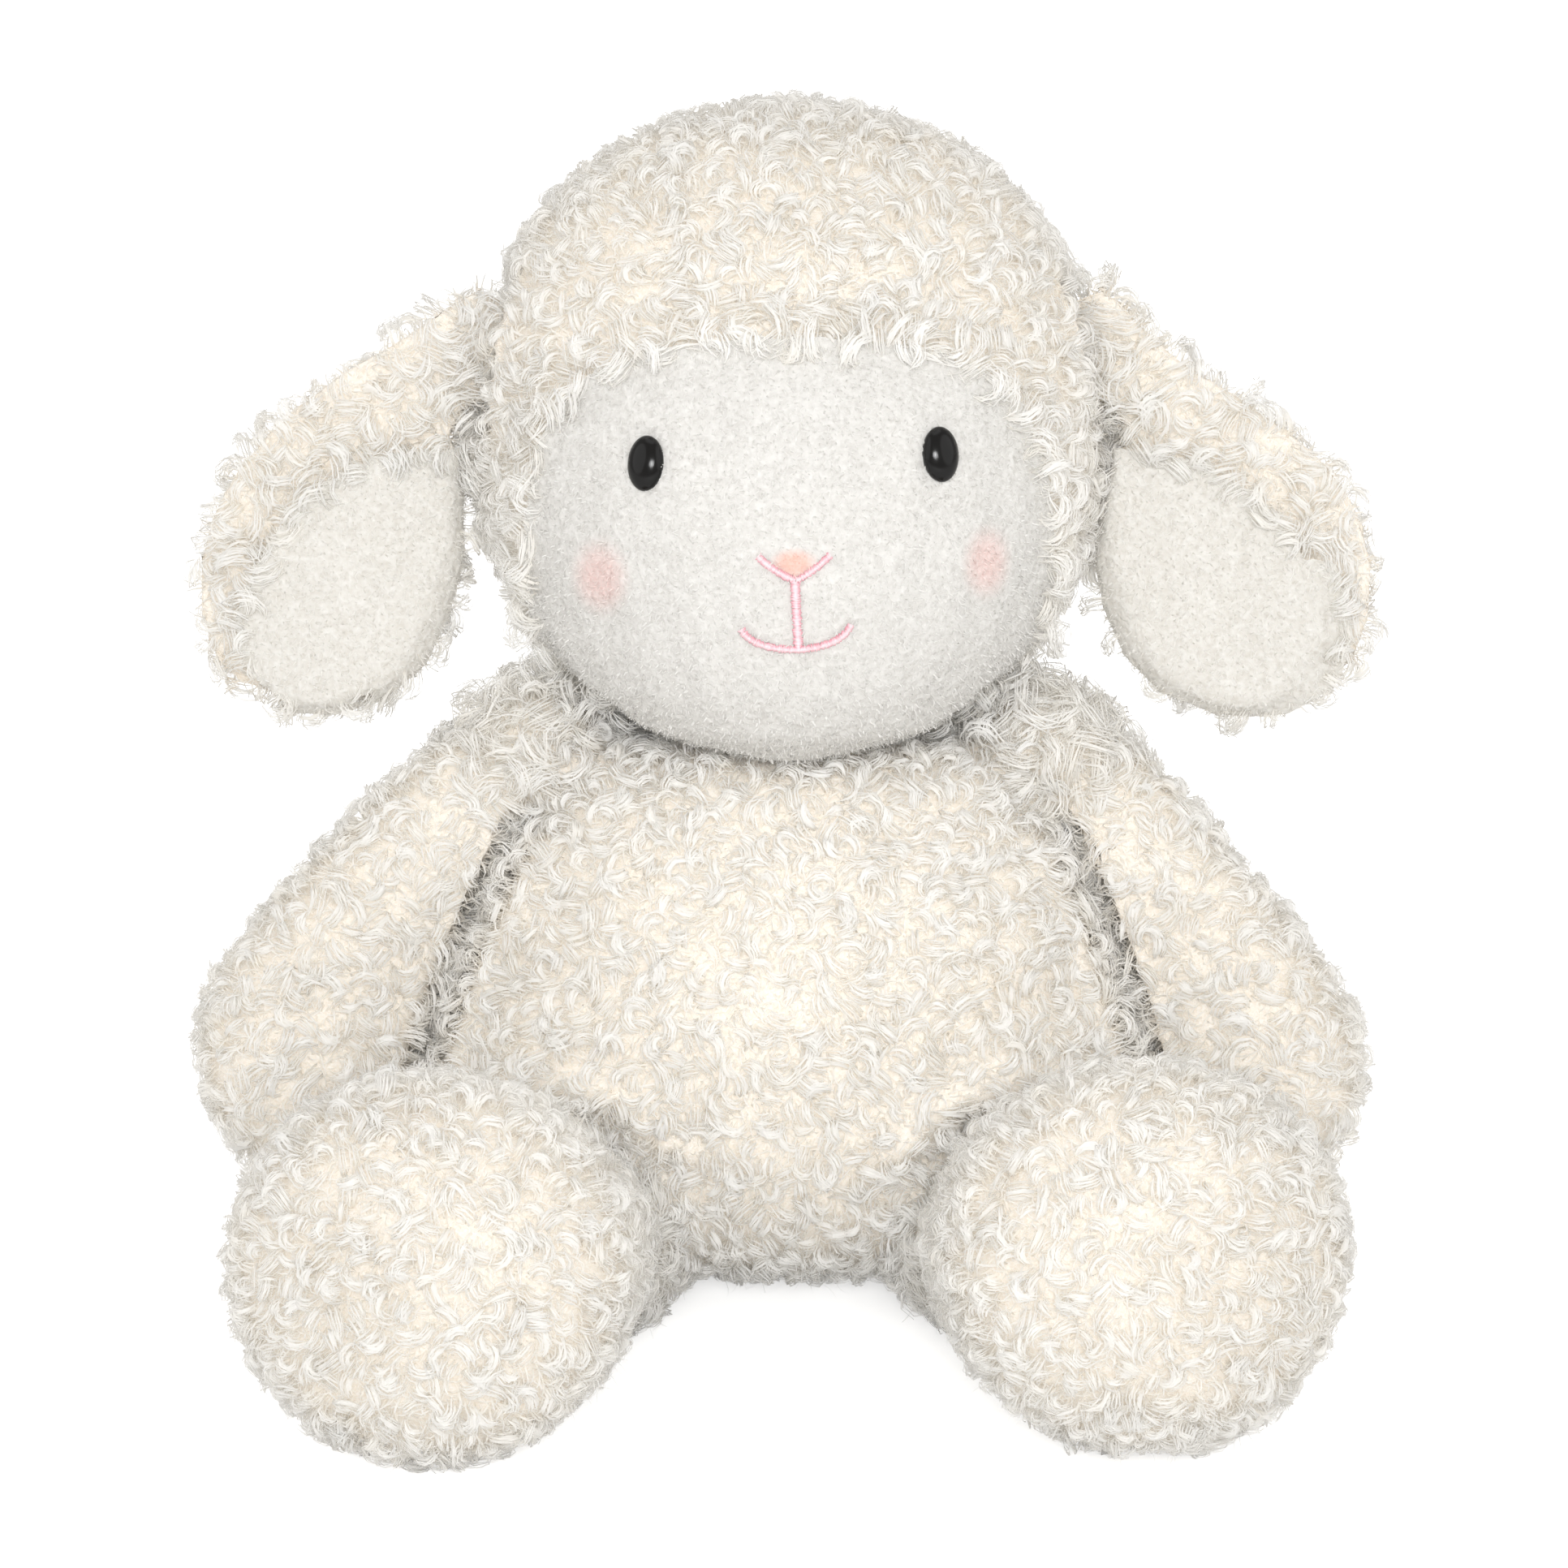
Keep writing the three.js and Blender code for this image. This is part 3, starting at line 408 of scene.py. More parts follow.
def thread_material():
    made, tree, shader = material("pink_thread")
    grain = grained(tree, object_place(tree), 3000.0, 2.0)
    # Paler pink at each thread's raised middle and darker toward its ends, as painted highlight and painted
    # shade, with paler flecks from a fine grain as painted glints.
    colour = mixed(tree, carried(tree, "thread_edge"), THREAD_CENTRE, THREAD_EDGE)
    colour = mixed(tree, ranged(tree, grain, 0.35, 0.65, 0.0, 0.3), colour, THREAD_SHINE)
    fed(tree, shader, {"Base Color": colour, "Roughness": 0.32, "Sheen Weight": 0.2})
    return made


def eye_material():
    made, tree, shader = material("black_plastic")
    wear = grained(tree, object_place(tree), 700.0, 4.0)
    colour = mixed(tree, wear, EYE_BLACK, EYE_WORN)
    gloss = ranged(tree, wear, 0.3, 0.7, 0.14, 0.18)
    fed(tree, shader, {"Base Color": colour, "Roughness": gloss, "Specular IOR Level": 0.36})
    return made


WOOL = wool_material()
BACKING = backing_material()


# Sewn skins


def joined(names, plugs):
    """One mesh of CAD nodes, with a ball in each hollow that a joint leaves."""
    bm = bmesh.new()
    for name in names:
        bm.from_mesh(NODES[name].data)
    bmesh.ops.remove_doubles(bm, verts=bm.verts, dist=1e-6)
    for joint, radius in plugs:
        made = bmesh.ops.create_icosphere(bm, subdivisions=4, radius=radius)
        bmesh.ops.translate(bm, verts=made["verts"], vec=JOINTS[joint]["pos_m"])
    return to_mesh(bm, bpy.data.meshes.new("joined"))


def largest_piece(mesh):
    """Keeps the largest connected part of a mesh, in triangles."""
    bm = bmesh.new()
    bm.from_mesh(mesh)
    left = set(bm.verts)
    best = []
    while left:
        island = [left.pop()]
        for vertex in island:
            found = {other for edge in vertex.link_edges for other in edge.verts if other in left}
            left -= found
            island += found
        if len(island) > len(best):
            best = island
    keep = set(best)
    bmesh.ops.delete(bm, geom=[v for v in bm.verts if v not in keep], context="VERTS")
    bmesh.ops.triangulate(bm, faces=bm.faces)
    return to_mesh(bm, mesh)


def faired(mesh, rounds):
    """Smooths a closed mesh without letting it shrink."""
    a, b = values_of(mesh.edges, "vertices", len(mesh.edges) * 2, np.int32).reshape(-1, 2).T
    points = coordinates(mesh)
    count = len(points)
    degree = np.maximum(np.bincount(a, minlength=count) + np.bincount(b, minlength=count), 1)
    for turn in range(2 * rounds):
        share = 0.5 if turn % 2 == 0 else -0.52
        moved = np.empty_like(points)
        for k in range(3):
            total = np.bincount(a, points[b, k], count) + np.bincount(b, points[a, k], count)
            moved[:, k] = total / degree
        points = points + share * (moved - points)
    place_vertices(mesh, points)
    return mesh


def sewn_skin(names, plugs, voxel, rounds):
    """The smooth outer surface round some CAD nodes, as one closed mesh."""
    mesh = with_modifier(joined(names, plugs), "REMESH", mode="VOXEL", voxel_size=voxel)
    return faired(largest_piece(mesh), rounds)


def seam_points(mesh, labels):
    """Where faces of different panels meet."""
    corners = triangles_of(mesh).ravel()
    low = np.full(len(mesh.vertices), labels.max() + 1)
    high = np.full(len(mesh.vertices), -1)
    np.minimum.at(low, corners, np.repeat(labels, 3))
    np.maximum.at(high, corners, np.repeat(labels, 3))
    return coordinates(mesh)[low < high]


def tree_of_points(points):
    tree = KDTree(max(1, len(points)))
    for k, point in enumerate(points.tolist()):
        tree.insert(point, k)
    tree.balance()
    return tree


def stuffed(mesh, labels):
    """Lets a sewn cover swell under the push of its filling, as cloth held by its seams and by the floor."""
    coarse = with_modifier(mesh, "REMESH", mode="VOXEL", voxel_size=CLOTH_VOXEL)
    start = coordinates(coarse)
    found = seam_points(mesh, labels)
    seams = tree_of_points(found)
    held = [
        k
        for k, p in enumerate(start.tolist())
        if p[2] < HELD_BELOW or (len(found) and seams.find(p)[2] < CLOTH_VOXEL)
    ]
    holder = bpy.data.objects.new("cover", coarse)
    bpy.context.scene.collection.objects.link(holder)
    holder.vertex_groups.new(name="held").add(held, 1.0, "REPLACE")
    cloth = holder.modifiers.new("cloth", "CLOTH")
    cloth.point_cache.frame_end = CLOTH_FRAMES
    cloth.settings.vertex_group_mass = "held"
    cloth.settings.use_pressure = True
    cloth.settings.uniform_pressure_force = 4
    cloth.settings.effector_weights.gravity = 0
    for frame_number in range(1, CLOTH_FRAMES + 1):
        bpy.context.scene.frame_set(frame_number)
    depsgraph = bpy.context.evaluated_depsgraph_get()
    swollen = bpy.data.meshes.new_from_object(holder.evaluated_get(depsgraph))
    move = coordinates(swollen) - start
    bpy.data.objects.remove(holder)
    bpy.context.scene.frame_set(1)
    length = np.linalg.norm(move, axis=1, keepdims=True)
    move = move * np.minimum(1, MOST_SWELL / np.maximum(length, 1e-9))
    tree = tree_of_points(start)
    points = coordinates(mesh)
    for k, point in enumerate(points.tolist()):
        near = tree.find_n(point, 5)
        weights = np.array([1 / (distance + 1 * MM) ** 2 for _, _, distance in near])
        points[k] += weights @ move[[index for _, index, _ in near]] / weights.sum()
    place_vertices(mesh, points)


def tree_of(mesh):
    return BVHTree.FromPolygons(coordinates(mesh).tolist(), triangles_of(mesh).tolist())


def middles_of(mesh):
    return coordinates(mesh)[triangles_of(mesh)].mean(axis=1)


def tree_of_corners(corners):
    numbers = np.arange(len(corners) * 3).reshape(-1, 3)
    return BVHTree.FromPolygons(corners.reshape(-1, 3).tolist(), numbers.tolist())


def in_box(points, corners, reach=0.0):
    """Which points lie within reach of the box round some corners."""
    low, high = corners.min(axis=0) - reach, corners.max(axis=0) + reach
    return (points > low).all(axis=1) & (points < high).all(axis=1)


def depth_in(tree, point):
    """How deep a point lies inside a closed mesh, found by how often a ray crosses it; 0 outside."""
    way, crossings = Vector((0.31, 0.17, 0.93)).normalized(), 0
    hit = tree.ray_cast(Vector(point), way)[0]
    while hit is not None and crossings < 40:
        crossings += 1
        hit = tree.ray_cast(hit + way * 1e-6, way)[0]
    return tree.find_nearest(point)[3] if crossings % 2 else 0.0


def shifted(mesh, distances):
    mesh = mesh.copy()
    place_vertices(mesh, coordinates(mesh) - vertex_normals(mesh) * np.reshape(distances, (-1, 1)))
    return mesh


class Skin:
    """A sewn cover: its outer mesh, its backing under the wool, and the CAD node nearest each face.

    Voxel and rounds set how finely it is remeshed and smoothed, bare names panels without wool, rim and
    bend change its labels and its shape, and size and fringe scale its locks, all over and at bare edges.
    """

    def __init__(
        self,
        body,
        covers,
        inner=(),
        plugs=(),
        voxel=1.8 * MM,
        rounds=30,
        bare=(),
        rim=None,
        bend=None,
        size=1.0,
        fringe=0.45,
    ):
        self.body, self.covers, self.size, self.fringe = body, covers, size, fringe
        self.outer = sewn_skin([*covers, *inner], plugs, voxel, rounds)
        trees = {name: tree_of(cad_mesh(name)) for name in covers}
        middles = middles_of(self.outer)
        near = [[trees[n].find_nearest(p)[3] for n in covers] for p in middles.tolist()]
        self.label = np.argmin(np.array(near), axis=1)
        if inner:
            stuffed(self.outer, self.label)
            middles = middles_of(self.outer)
        if rim:
            rim(self, middles)
        if bend:
            place_vertices(self.outer, lowered(bend(raised(coordinates(self.outer)))))
            middles = middles_of(self.outer)
        bare_faces = np.isin(self.label, [covers.index(n) for n in bare])
        depths = np.full(len(self.outer.vertices), BACKING_DEPTH)
        if bare_faces.any():
            depths = self.blended_depths(bare_faces)
        self.backing = shifted(self.outer, depths)
        self.tree = tree_of(self.backing)
        self.open = ~bare_faces
        self.woolly = self.label.copy()
        self.bare_tree = None
        if bare_faces.any():
            self.overlap(bare_faces, middles)

    def overlap(self, bare_faces, middles):
        """Lets the wool root a little way into a bare panel, so that it hangs over the panel's edge."""
        corners = coordinates(self.outer)[triangles_of(self.outer)]
        self.bare_tree = tree_of_corners(corners[bare_faces])
        wool_faces = np.flatnonzero(~bare_faces)
        tree = tree_of_corners(corners[wool_faces])
        for k in np.flatnonzero(bare_faces):
            _, _, index, distance = tree.find_nearest(middles[k].tolist())
            if distance < OVERLAP:
                self.woolly[k] = self.label[wool_faces[index]]
                self.open[k] = True

    def blended_depths(self, bare_faces):
        """The backing's depth: that of the wool, and shallow under a bare panel."""
        triangles = triangles_of(self.outer)
        value = np.zeros(len(self.outer.vertices))
        count = np.zeros(len(self.outer.vertices))
        np.add.at(value, triangles.ravel(), np.repeat(bare_faces.astype(float), 3))
        np.add.at(count, triangles.ravel(), 1)
        share = value / np.maximum(count, 1)
        return BACKING_DEPTH * (1 - share) + PILE_BACKING_DEPTH * share


def ear_rim(side):
    """Lets an ear's lining reach its inner and lower edges, and the right one nearer to the outer edge."""
    sign = -1 if side == "left" else 1
    centre = leaned(sign * LINING_OUT, 0, LINING_UP)
    up, ahead = leaned_way(0, 0, 1), leaned_way(0, -1, 0)

    def relabel(skin, middles):
        u = sign * (middles[:, 0] - centre[0])
        v = (middles - centre) @ up
        corners = coordinates(skin.outer)[triangles_of(skin.outer)]
        normals = normalised(np.cross(corners[:, 1] - corners[:, 0], corners[:, 2] - corners[:, 0]))
        facing = normals @ ahead
        inner = (u < -4 * MM) & (v < 26 * MM)
        lower = (v < -22 * MM) & (u < 13 * MM)
        outer = (u > 4 * MM) & (v < 4 * MM) & (sign > 0)
        lining = np.flatnonzero(skin.label == 1)
        tree = tree_of_corners(corners[lining])
        for k in np.flatnonzero((inner | lower | outer) & (facing > 0.05) & (skin.label == 0)):
            if tree.find_nearest(middles[k].tolist())[3] < (OUTER_REACH if outer[k] else LINING_REACH):
                skin.label[k] = 1

    return relabel


def ear_bend(side):
    """How an ear hangs away from its cut: its top sinks, and the right ear lies a little wider."""
    sign = -1 if side == "left" else 1
    sink, swing, wide, tall = EAR_HANG[side]

    def bend(points):
        out, up = sign * points[:, 0] - EAR_OUT, points[:, 2] - EAR_UP
        c, s = math.cos(swing), math.sin(swing)
        free = smoothstep(0, 12 * MM, np.maximum(out, -up - 14 * MM))
        turned_out, turned_up = out * c + up * s, up * c - out * s
        out = out + (turned_out * np.where(out > 0, wide, 1) - out) * free
        up = up + (turned_up * np.where(up < 0, tall, 1) - up) * free
        up = up - sink * smoothstep(-34 * MM, 6 * MM, up) * smoothstep(0, 18 * MM, out)
        return np.stack([sign * (out + EAR_OUT), points[:, 1], up + EAR_UP], axis=1)

    return bend


def chin_bend(points):
    """The filled chin sags a little over the chest."""
    x, y, z = points.T
    sag = CHIN_SAG * smoothstep(144 * MM, 124 * MM, z) * smoothstep(0, -26 * MM, y)
    return np.stack([x, y, z - sag], axis=1)


def cad_mesh(name):
    bm = bmesh.new()
    bm.from_mesh(NODES[name].data)
    bmesh.ops.remove_doubles(bm, verts=bm.verts, dist=1e-6)
    bmesh.ops.triangulate(bm, faces=bm.faces)
    return to_mesh(bm, bpy.data.meshes.new("cad"))


def make_skins():
    seats = [
        ("left_arm_swing", ARM_BALL),
        ("right_arm_swing", ARM_BALL),
        ("left_leg_swing", LEG_BALL),
        ("right_leg_swing", LEG_BALL),
        ("tail_wag", TAIL_BALL),
        ("head_turn", NECK_BALL),
    ]
    skins = {
        "body": Skin(
            "body",
            ["body_front_panel", "body_back_left_panel", "body_back_right_panel", "seat_panel"],
            ["body_filling"],
            seats,
            voxel=2.2 * MM,
        ),
        "head": Skin(
            "head",
            ["face_panel", "head_gusset", "head_left_panel", "head_right_panel"],
            ["head_filling"],
            bare=["face_panel"],
            bend=chin_bend,
        ),
        "tail": Skin("tail", ["tail"], voxel=1.4 * MM),
    }
    for side in ("left", "right"):
        skins[side + "_ear"] = Skin(
            side + "_ear",
            [side + "_ear_back", side + "_ear_lining"],
            voxel=1.2 * MM,
            rounds=12,
            bare=[side + "_ear_lining"],
            rim=ear_rim(side),
            bend=ear_bend(side),
            size=1.16,
            fringe=0.08,
        )
        arm, leg = side + "_arm", side + "_leg"
        skins[arm] = Skin(arm, [arm + "_front_panel", arm + "_back_panel"], [arm + "_filling"])
        skins[leg] = Skin(leg, [leg + "_cover", side + "_sole"], [leg + "_filling"])
    settle([skins[key] for key in ("body", "left_arm", "right_arm", "left_leg", "right_leg")])
    for skin in skins.values():
        hide_buried(skin, [other for other in skins.values() if other is not skin])
    return skins


def settle(skins):
    """Lets body and limbs swell toward each other where they lie close, as their filling makes them."""
    reach, clear = 14 * MM, 0.8 * MM
    trees = [tree_of(skin.outer) for skin in skins]
    covers = [coordinates(skin.outer) for skin in skins]
    pushes = []
    for skin in skins:
        points, normals = coordinates(skin.outer), vertex_normals(skin.outer)
        push = np.zeros(len(points))
        for other, tree, corners in zip(skins, trees, covers):
            if other is skin:
                continue
            for k in np.flatnonzero(in_box(points, corners, reach)):
                near, face_normal, _, distance = tree.find_nearest(points[k].tolist())
                away = Vector(points[k].tolist()) - near
                if distance > reach or away.dot(face_normal) <= 0:
                    continue
                toward = -away.dot(Vector(normals[k].tolist())) / max(distance, 1e-6)
                share = smoothstep(0.1, 0.6, toward) * (1 - smoothstep(0.55 * reach, reach, distance))
                push[k] = max(push[k], min(MOST_SETTLING, 0.45 * max(0, distance - clear)) * share)
        pushes.append(push)
    for skin, push in zip(skins, pushes):
        skin.backing = shifted(skin.backing, -push)
        skin.outer = shifted(skin.outer, -push)
        skin.tree = tree_of(skin.backing)


def hide_buried(skin, others):
    """Leaves out of the wool the faces that lie deep in another sewn piece."""
    middles = middles_of(skin.backing)
    for other in others:
        for k in np.flatnonzero(skin.open & in_box(middles, coordinates(other.backing))):
            skin.open[k] = depth_in(other.tree, middles[k].tolist()) < HIDDEN_DEPTH


# Wool


def scattered(skin, label, spacing, rng):
    """Points on one panel's backing, no two nearer than the spacing, with their normals."""
    triangles = triangles_of(skin.backing)
    points, normals = coordinates(skin.backing), vertex_normals(skin.outer)
    chosen = np.flatnonzero(skin.open & (skin.woolly == label))
    if not len(chosen):
        return np.empty((0, 3)), np.empty((0, 3))
    corners = points[triangles[chosen]]
    areas = triangle_areas(corners)
    count = int(areas.sum() / spacing**2 * 4)
    pick = rng.choice(len(chosen), count, p=areas / areas.sum())
    a, b = rng.random((2, count))
    flip = a + b > 1
    a[flip], b[flip] = 1 - a[flip], 1 - b[flip]
    weights = np.stack([1 - a - b, a, b], axis=1)[:, :, None]
    placed = (corners[pick] * weights).sum(axis=1)
    facing = normalised((normals[triangles[chosen[pick]]] * weights).sum(axis=1))
    kept = thinned(placed, spacing)
    return placed[kept], facing[kept]


def thinned(points, spacing):
    """Which points stay when none may lie nearer to an earlier one than the spacing."""
    grid, kept = {}, []
    cells = np.floor(points / spacing).astype(int).tolist()
    listed = points.tolist()
    limit = spacing**2
    around = list(itertools.product((-1, 0, 1), repeat=3))
    for index, (cell, p) in enumerate(zip(cells, listed)):
        clear = True
        for i, j, k in around:
            for q in grid.get((cell[0] + i, cell[1] + j, cell[2] + k), ()):
                if (p[0] - q[0]) ** 2 + (p[1] - q[1]) ** 2 + (p[2] - q[2]) ** 2 < limit:
                    clear = False
                    break
            if not clear:
                break
        if clear:
            grid.setdefault(tuple(cell), []).append(p)
            kept.append(index)
    return np.array(kept, int)


def tangents(normals, rng):
    """A random direction along the surface at each point, leaning downward, and the one across it."""
    lean = rng.normal(size=normals.shape) + np.array([0, 0, -0.35])
    along = normalised(lean - (lean * normals).sum(axis=1, keepdims=True) * normals)
    return along, np.cross(normals, along)


# Points along a lock, along each fibre or short hair, and along each stray hair
FINE_STEPS = 33
RINGS = 4
STRAY_RINGS = 6


# A kind of lock: how far apart, how many fibres, and the ranges of its sizes (mm) and angles (degrees)
Kind = collections.namedtuple("Kind", "spacing fibres radius turn tilt thick top")
TUFTS = Kind(2.8 * MM, 26, (1.8, 3.2), (110, 250), (30, 84), (1.05, 1.65), 0.5)
HOOKS = Kind(6.4 * MM, 30, (1.8, 2.6), (160, 290), (20, 70), (0.95, 1.3), 0.9)


class Curls:
    """The centre lines of hooked locks of wool, and the frame round each."""

    def __init__(self, roots, normals, rng, kind, scale):
        count = len(roots)
        scale = np.broadcast_to(scale, count)
        along, across = tangents(normals, rng)
        tilt = np.radians(rng.uniform(*kind.tilt, count))
        hand = rng.choice([-1.0, 1.0], count)
        self.plane = normals * np.cos(tilt)[:, None] + across * (hand * np.sin(tilt))[:, None]
        side = np.cross(self.plane, along)
        radius = rng.uniform(*kind.radius, count) * MM * scale
        turn = np.radians(rng.uniform(*kind.turn, count))
        start = np.radians(rng.uniform(-130, -60, count)) * hand
        t = np.linspace(0, 1, FINE_STEPS)
        angle = start[:, None] + hand[:, None] * turn[:, None] * t**1.35
        step = (radius * turn)[:, None] / (FINE_STEPS - 1)
        x = np.cumsum(np.cos(angle) * step, axis=1)
        y = np.cumsum(np.sin(angle) * step, axis=1)
        x -= x.mean(axis=1, keepdims=True)
        y -= y.mean(axis=1, keepdims=True)
        curl = x[..., None] * along[:, None] + y[..., None] * side[:, None]
        reach = (curl * normals[:, None]).sum(axis=2).max(axis=1)
        swell = noise(roots, 6.5 * MM, 21) * 0.8 + noise(roots, 3.2 * MM, 22) * 0.4
        top = (BACKING_DEPTH + (kind.top + swell + rng.normal(0, 0.35, count)) * MM) * scale
        rise = np.maximum(top - reach - 0.5 * MM, 0.4 * MM)
        grow = smoothstep(0, 0.3, t)
        self.normals = normals
        self.centre = (
            roots[:, None]
            + curl * grow[None, :, None]
            + normals[:, None] * (rise[:, None] * smoothstep(0, 0.35, t) - 0.4 * MM)[..., None]
        )
        self.roots = roots
        self.tone = rng.random(count)
        self.thick = rng.uniform(*kind.thick, count) * MM * scale
        self.flat = np.sin(tilt)
        self.scale = scale

    def at(self, places):
        """Centres, tangents and cross directions at shares of each curl's length: places is (count, k)."""
        f = np.clip(places, 0, 1) * (FINE_STEPS - 1)
        low = np.minimum(f.astype(int), FINE_STEPS - 2)
        part = (f - low)[..., None]
        row = np.arange(len(self.centre))[:, None]
        a, b = self.centre[row, low], self.centre[row, low + 1]
        tangent = normalised(b - a)
        beyond = np.clip(places - 1, 0, None)[..., None] * 6 * MM
        centre = a + (b - a) * part + tangent * beyond
        across = normalised(np.cross(self.plane[:, None], tangent))
        return centre, tangent, across, np.cross(tangent, across)

    def width(self, places):
        """A lock's half width at those places: full along it, and closed at its tip."""
        body = 0.62 + 0.38 * smoothstep(0, 0.25, places)
        return self.thick[:, None] * body * np.sqrt(np.clip(1 - np.clip(places, 0, 1) ** 3.5, 0, 1))


def heights(points, roots, normals):
    """How high points stand over their root, from 0 at the backing to 1 at the top of the wool."""
    return ((points - roots) * normals).sum(axis=-1) / (BACKING_DEPTH + 1 * MM)


class Ribbons:
    """Flat fibres as points, triangles and values: centre is (count, k, 3), wide the half width vectors."""

    def __init__(self, centre, wide, high, tone, cell):
        count, k = centre.shape[:2]
        steps = range(0, 2 * k - 2, 2)
        faces = [corners for a in steps for corners in ([a, a + 1, a + 3], [a, a + 3, a + 2])]
        self.points = np.stack([centre - wide, centre + wide], axis=2).reshape(-1, 3)
        self.faces = (np.array(faces)[None] + (np.arange(count) * 2 * k)[:, None, None]).reshape(-1, 3)
        self.high = np.repeat(high, 2, axis=1).reshape(-1)
        self.along = np.tile(np.repeat(np.linspace(0, 1, k), 2), count)
        self.around = np.tile([0.0, 1.0], count * k)
        self.tone = np.repeat(tone, 2 * k)
        self.cell = np.repeat(cell, 2 * k)


def curl_fibres(curls, each, rng):
    """Fine fibres that lie on a curl and fray from its tip."""
    row = np.repeat(np.arange(len(curls.centre)), each)
    sub = picked(curls, row)
    n = len(row)
    low = rng.uniform(0.0, 0.55, n)
    high = low + rng.uniform(0.45, 0.7, n)
    places = low[:, None] + (high - low)[:, None] * np.linspace(0, 1, RINGS)
    centre, tangent, across, over = sub.at(places)
    fray = smoothstep(0.6, 1.1, places) * rng.uniform(0.0, 0.6, (n, 1)) * MM
    lift = sub.width(places) * np.sqrt(rng.uniform(0.25, 1.4, (n, 1))) + fray
    turn = rng.uniform(0, 2 * np.pi, (n, 1)) + rng.normal(0, 0.6, (n, 1)) * places
    wide_in = (1.25 - 0.65 * sub.flat)[:, None, None]
    wide_over = (0.6 + 0.65 * sub.flat)[:, None, None]
    outward = np.cos(turn)[..., None] * across * wide_in + np.sin(turn)[..., None] * over * wide_over
    facing = normalised(outward) + sub.normals[:, None] * 0.7
    sideways = normalised(np.cross(tangent, facing))
    wander = rng.normal(0, 0.05, (n, RINGS, 3)) * MM
    centre = centre + outward * lift[..., None] + wander
    taper = 0.3 + 0.7 * np.sin(np.pi * np.linspace(0.1, 0.95, RINGS))
    wide = sideways * (rng.uniform(0.1, 0.17, (n, 1)) * MM * taper)[..., None]
    # Dividing by the scale squared lowers the colour height of locks that are scaled up, near another piece
    # close by and at a bare panel's edge, so they take darker, warmer colours: painted shade in the creases.
    up = heights(centre, sub.roots[:, None], sub.normals[:, None]) / sub.scale[:, None] ** 2
    return Ribbons(centre, wide, up, np.clip(sub.tone + rng.normal(0, 0.08, n), 0, 1), row)


def picked(curls, row):
    made = copy.copy(curls)
    for key in ("centre", "plane", "normals", "roots", "tone", "thick", "flat", "scale"):
        setattr(made, key, getattr(curls, key)[row])
    return made


def stray_fibres(curls, rng):
    """Single hairs that leave the curls and stand away from the wool."""
    count = len(curls.centre)
    row = rng.integers(0, count, count)
    sub = picked(curls, row)
    start, tangent, _, _ = sub.at(rng.uniform(0.3, 1.0, (count, 1)))
    away = sub.normals * rng.uniform(0.1, 0.9, (count, 1)) + rng.normal(0, 0.45, (count, 3))
    heading = normalised(tangent[:, 0] * 0.7 + away)
    bend = rng.normal(0, 1.0, (count, 3))
    bend = normalised(bend - (bend * heading).sum(axis=1, keepdims=True) * heading)
    length = rng.uniform(1.6, 5.2, count) * MM
    angle = np.linspace(0, 1, STRAY_RINGS)[None] * rng.uniform(0.3, 2.0, (count, 1))
    step = length[:, None] / (STRAY_RINGS - 1)
    x = np.cumsum(np.cos(angle) * step, axis=1) - step
    y = np.cumsum(np.sin(angle) * step, axis=1)
    centre = start + x[..., None] * heading[:, None] + y[..., None] * bend[:, None]
    wide = np.cross(heading, bend)[:, None] * (0.045 * MM * np.linspace(1.2, 0.4, STRAY_RINGS))[None, :, None]
    up = heights(centre, sub.roots[:, None], sub.normals[:, None])
    return Ribbons(centre, np.broadcast_to(wide, centre.shape), up, sub.tone, row)


def bowed(roots, normals, along, across, rise, run, bow, arc, sink):
    """The centre lines of short bent hairs: up along an arc, along the surface, and aside."""
    t = np.linspace(0, 1, RINGS)
    return (
        roots[:, None]
        + normals[:, None] * (rise * np.sin(t * arc) - sink)[..., None]
        + along[:, None] * (run * t)[..., None]
        + across[:, None] * (bow * t**2)[..., None]
    )


def underfur(roots, normals, rng, cells):
    """Short crossing hairs that fill the wool between the curls."""
    count = len(roots)
    along, across = tangents(normals, rng)
    rise = rng.uniform(0.8, 3.0, (count, 1)) * MM
    run = rng.uniform(1.0, 3.4, (count, 1)) * MM
    twist = rng.normal(0, 1.1, (count, 1)) * MM
    centre = bowed(roots, normals, along, across, rise, run, twist, 1.9, 0.2 * MM)
    flat = normalised(across + normals * rng.normal(0, 0.6, (count, 1)))
    taper = np.linspace(1, 0.3, RINGS)
    wide = flat[:, None] * (rng.uniform(0.17, 0.3, (count, 1)) * MM * taper)[..., None]
    up = heights(centre, roots[:, None], normals[:, None])
    return Ribbons(centre, wide, up, rng.random(count), rng.integers(0, max(cells, 1), count))


def wool_mesh(name, strands):
    """One mesh of several kinds of strand. Each curl has its own small square of the texture."""
    start, faces = 0, []
    for kind in strands:
        faces.append(kind.faces + start)
        start += len(kind.points)
    points = np.concatenate([kind.points for kind in strands])
    low = points[:, 2] < FLOOR
    points[low, 2] = FLOOR + (points[low, 2] - FLOOR) * 0.02
    cells = max(int(kind.cell.max()) + 1 for kind in strands)
    across = math.ceil(math.sqrt(cells))
    cell, along, around, high, tone = (
        np.concatenate([getattr(kind, key) for kind in strands])
        for key in ("cell", "along", "around", "high", "tone")
    )
    u, v = cell % across + 0.15 + 0.7 * along, cell // across + 0.15 + 0.7 * around
    uv = np.stack([u, v], axis=1) / across
    return new_mesh(name, points, np.concatenate(faces), uv, wool_height=high, wool_tone=tone)


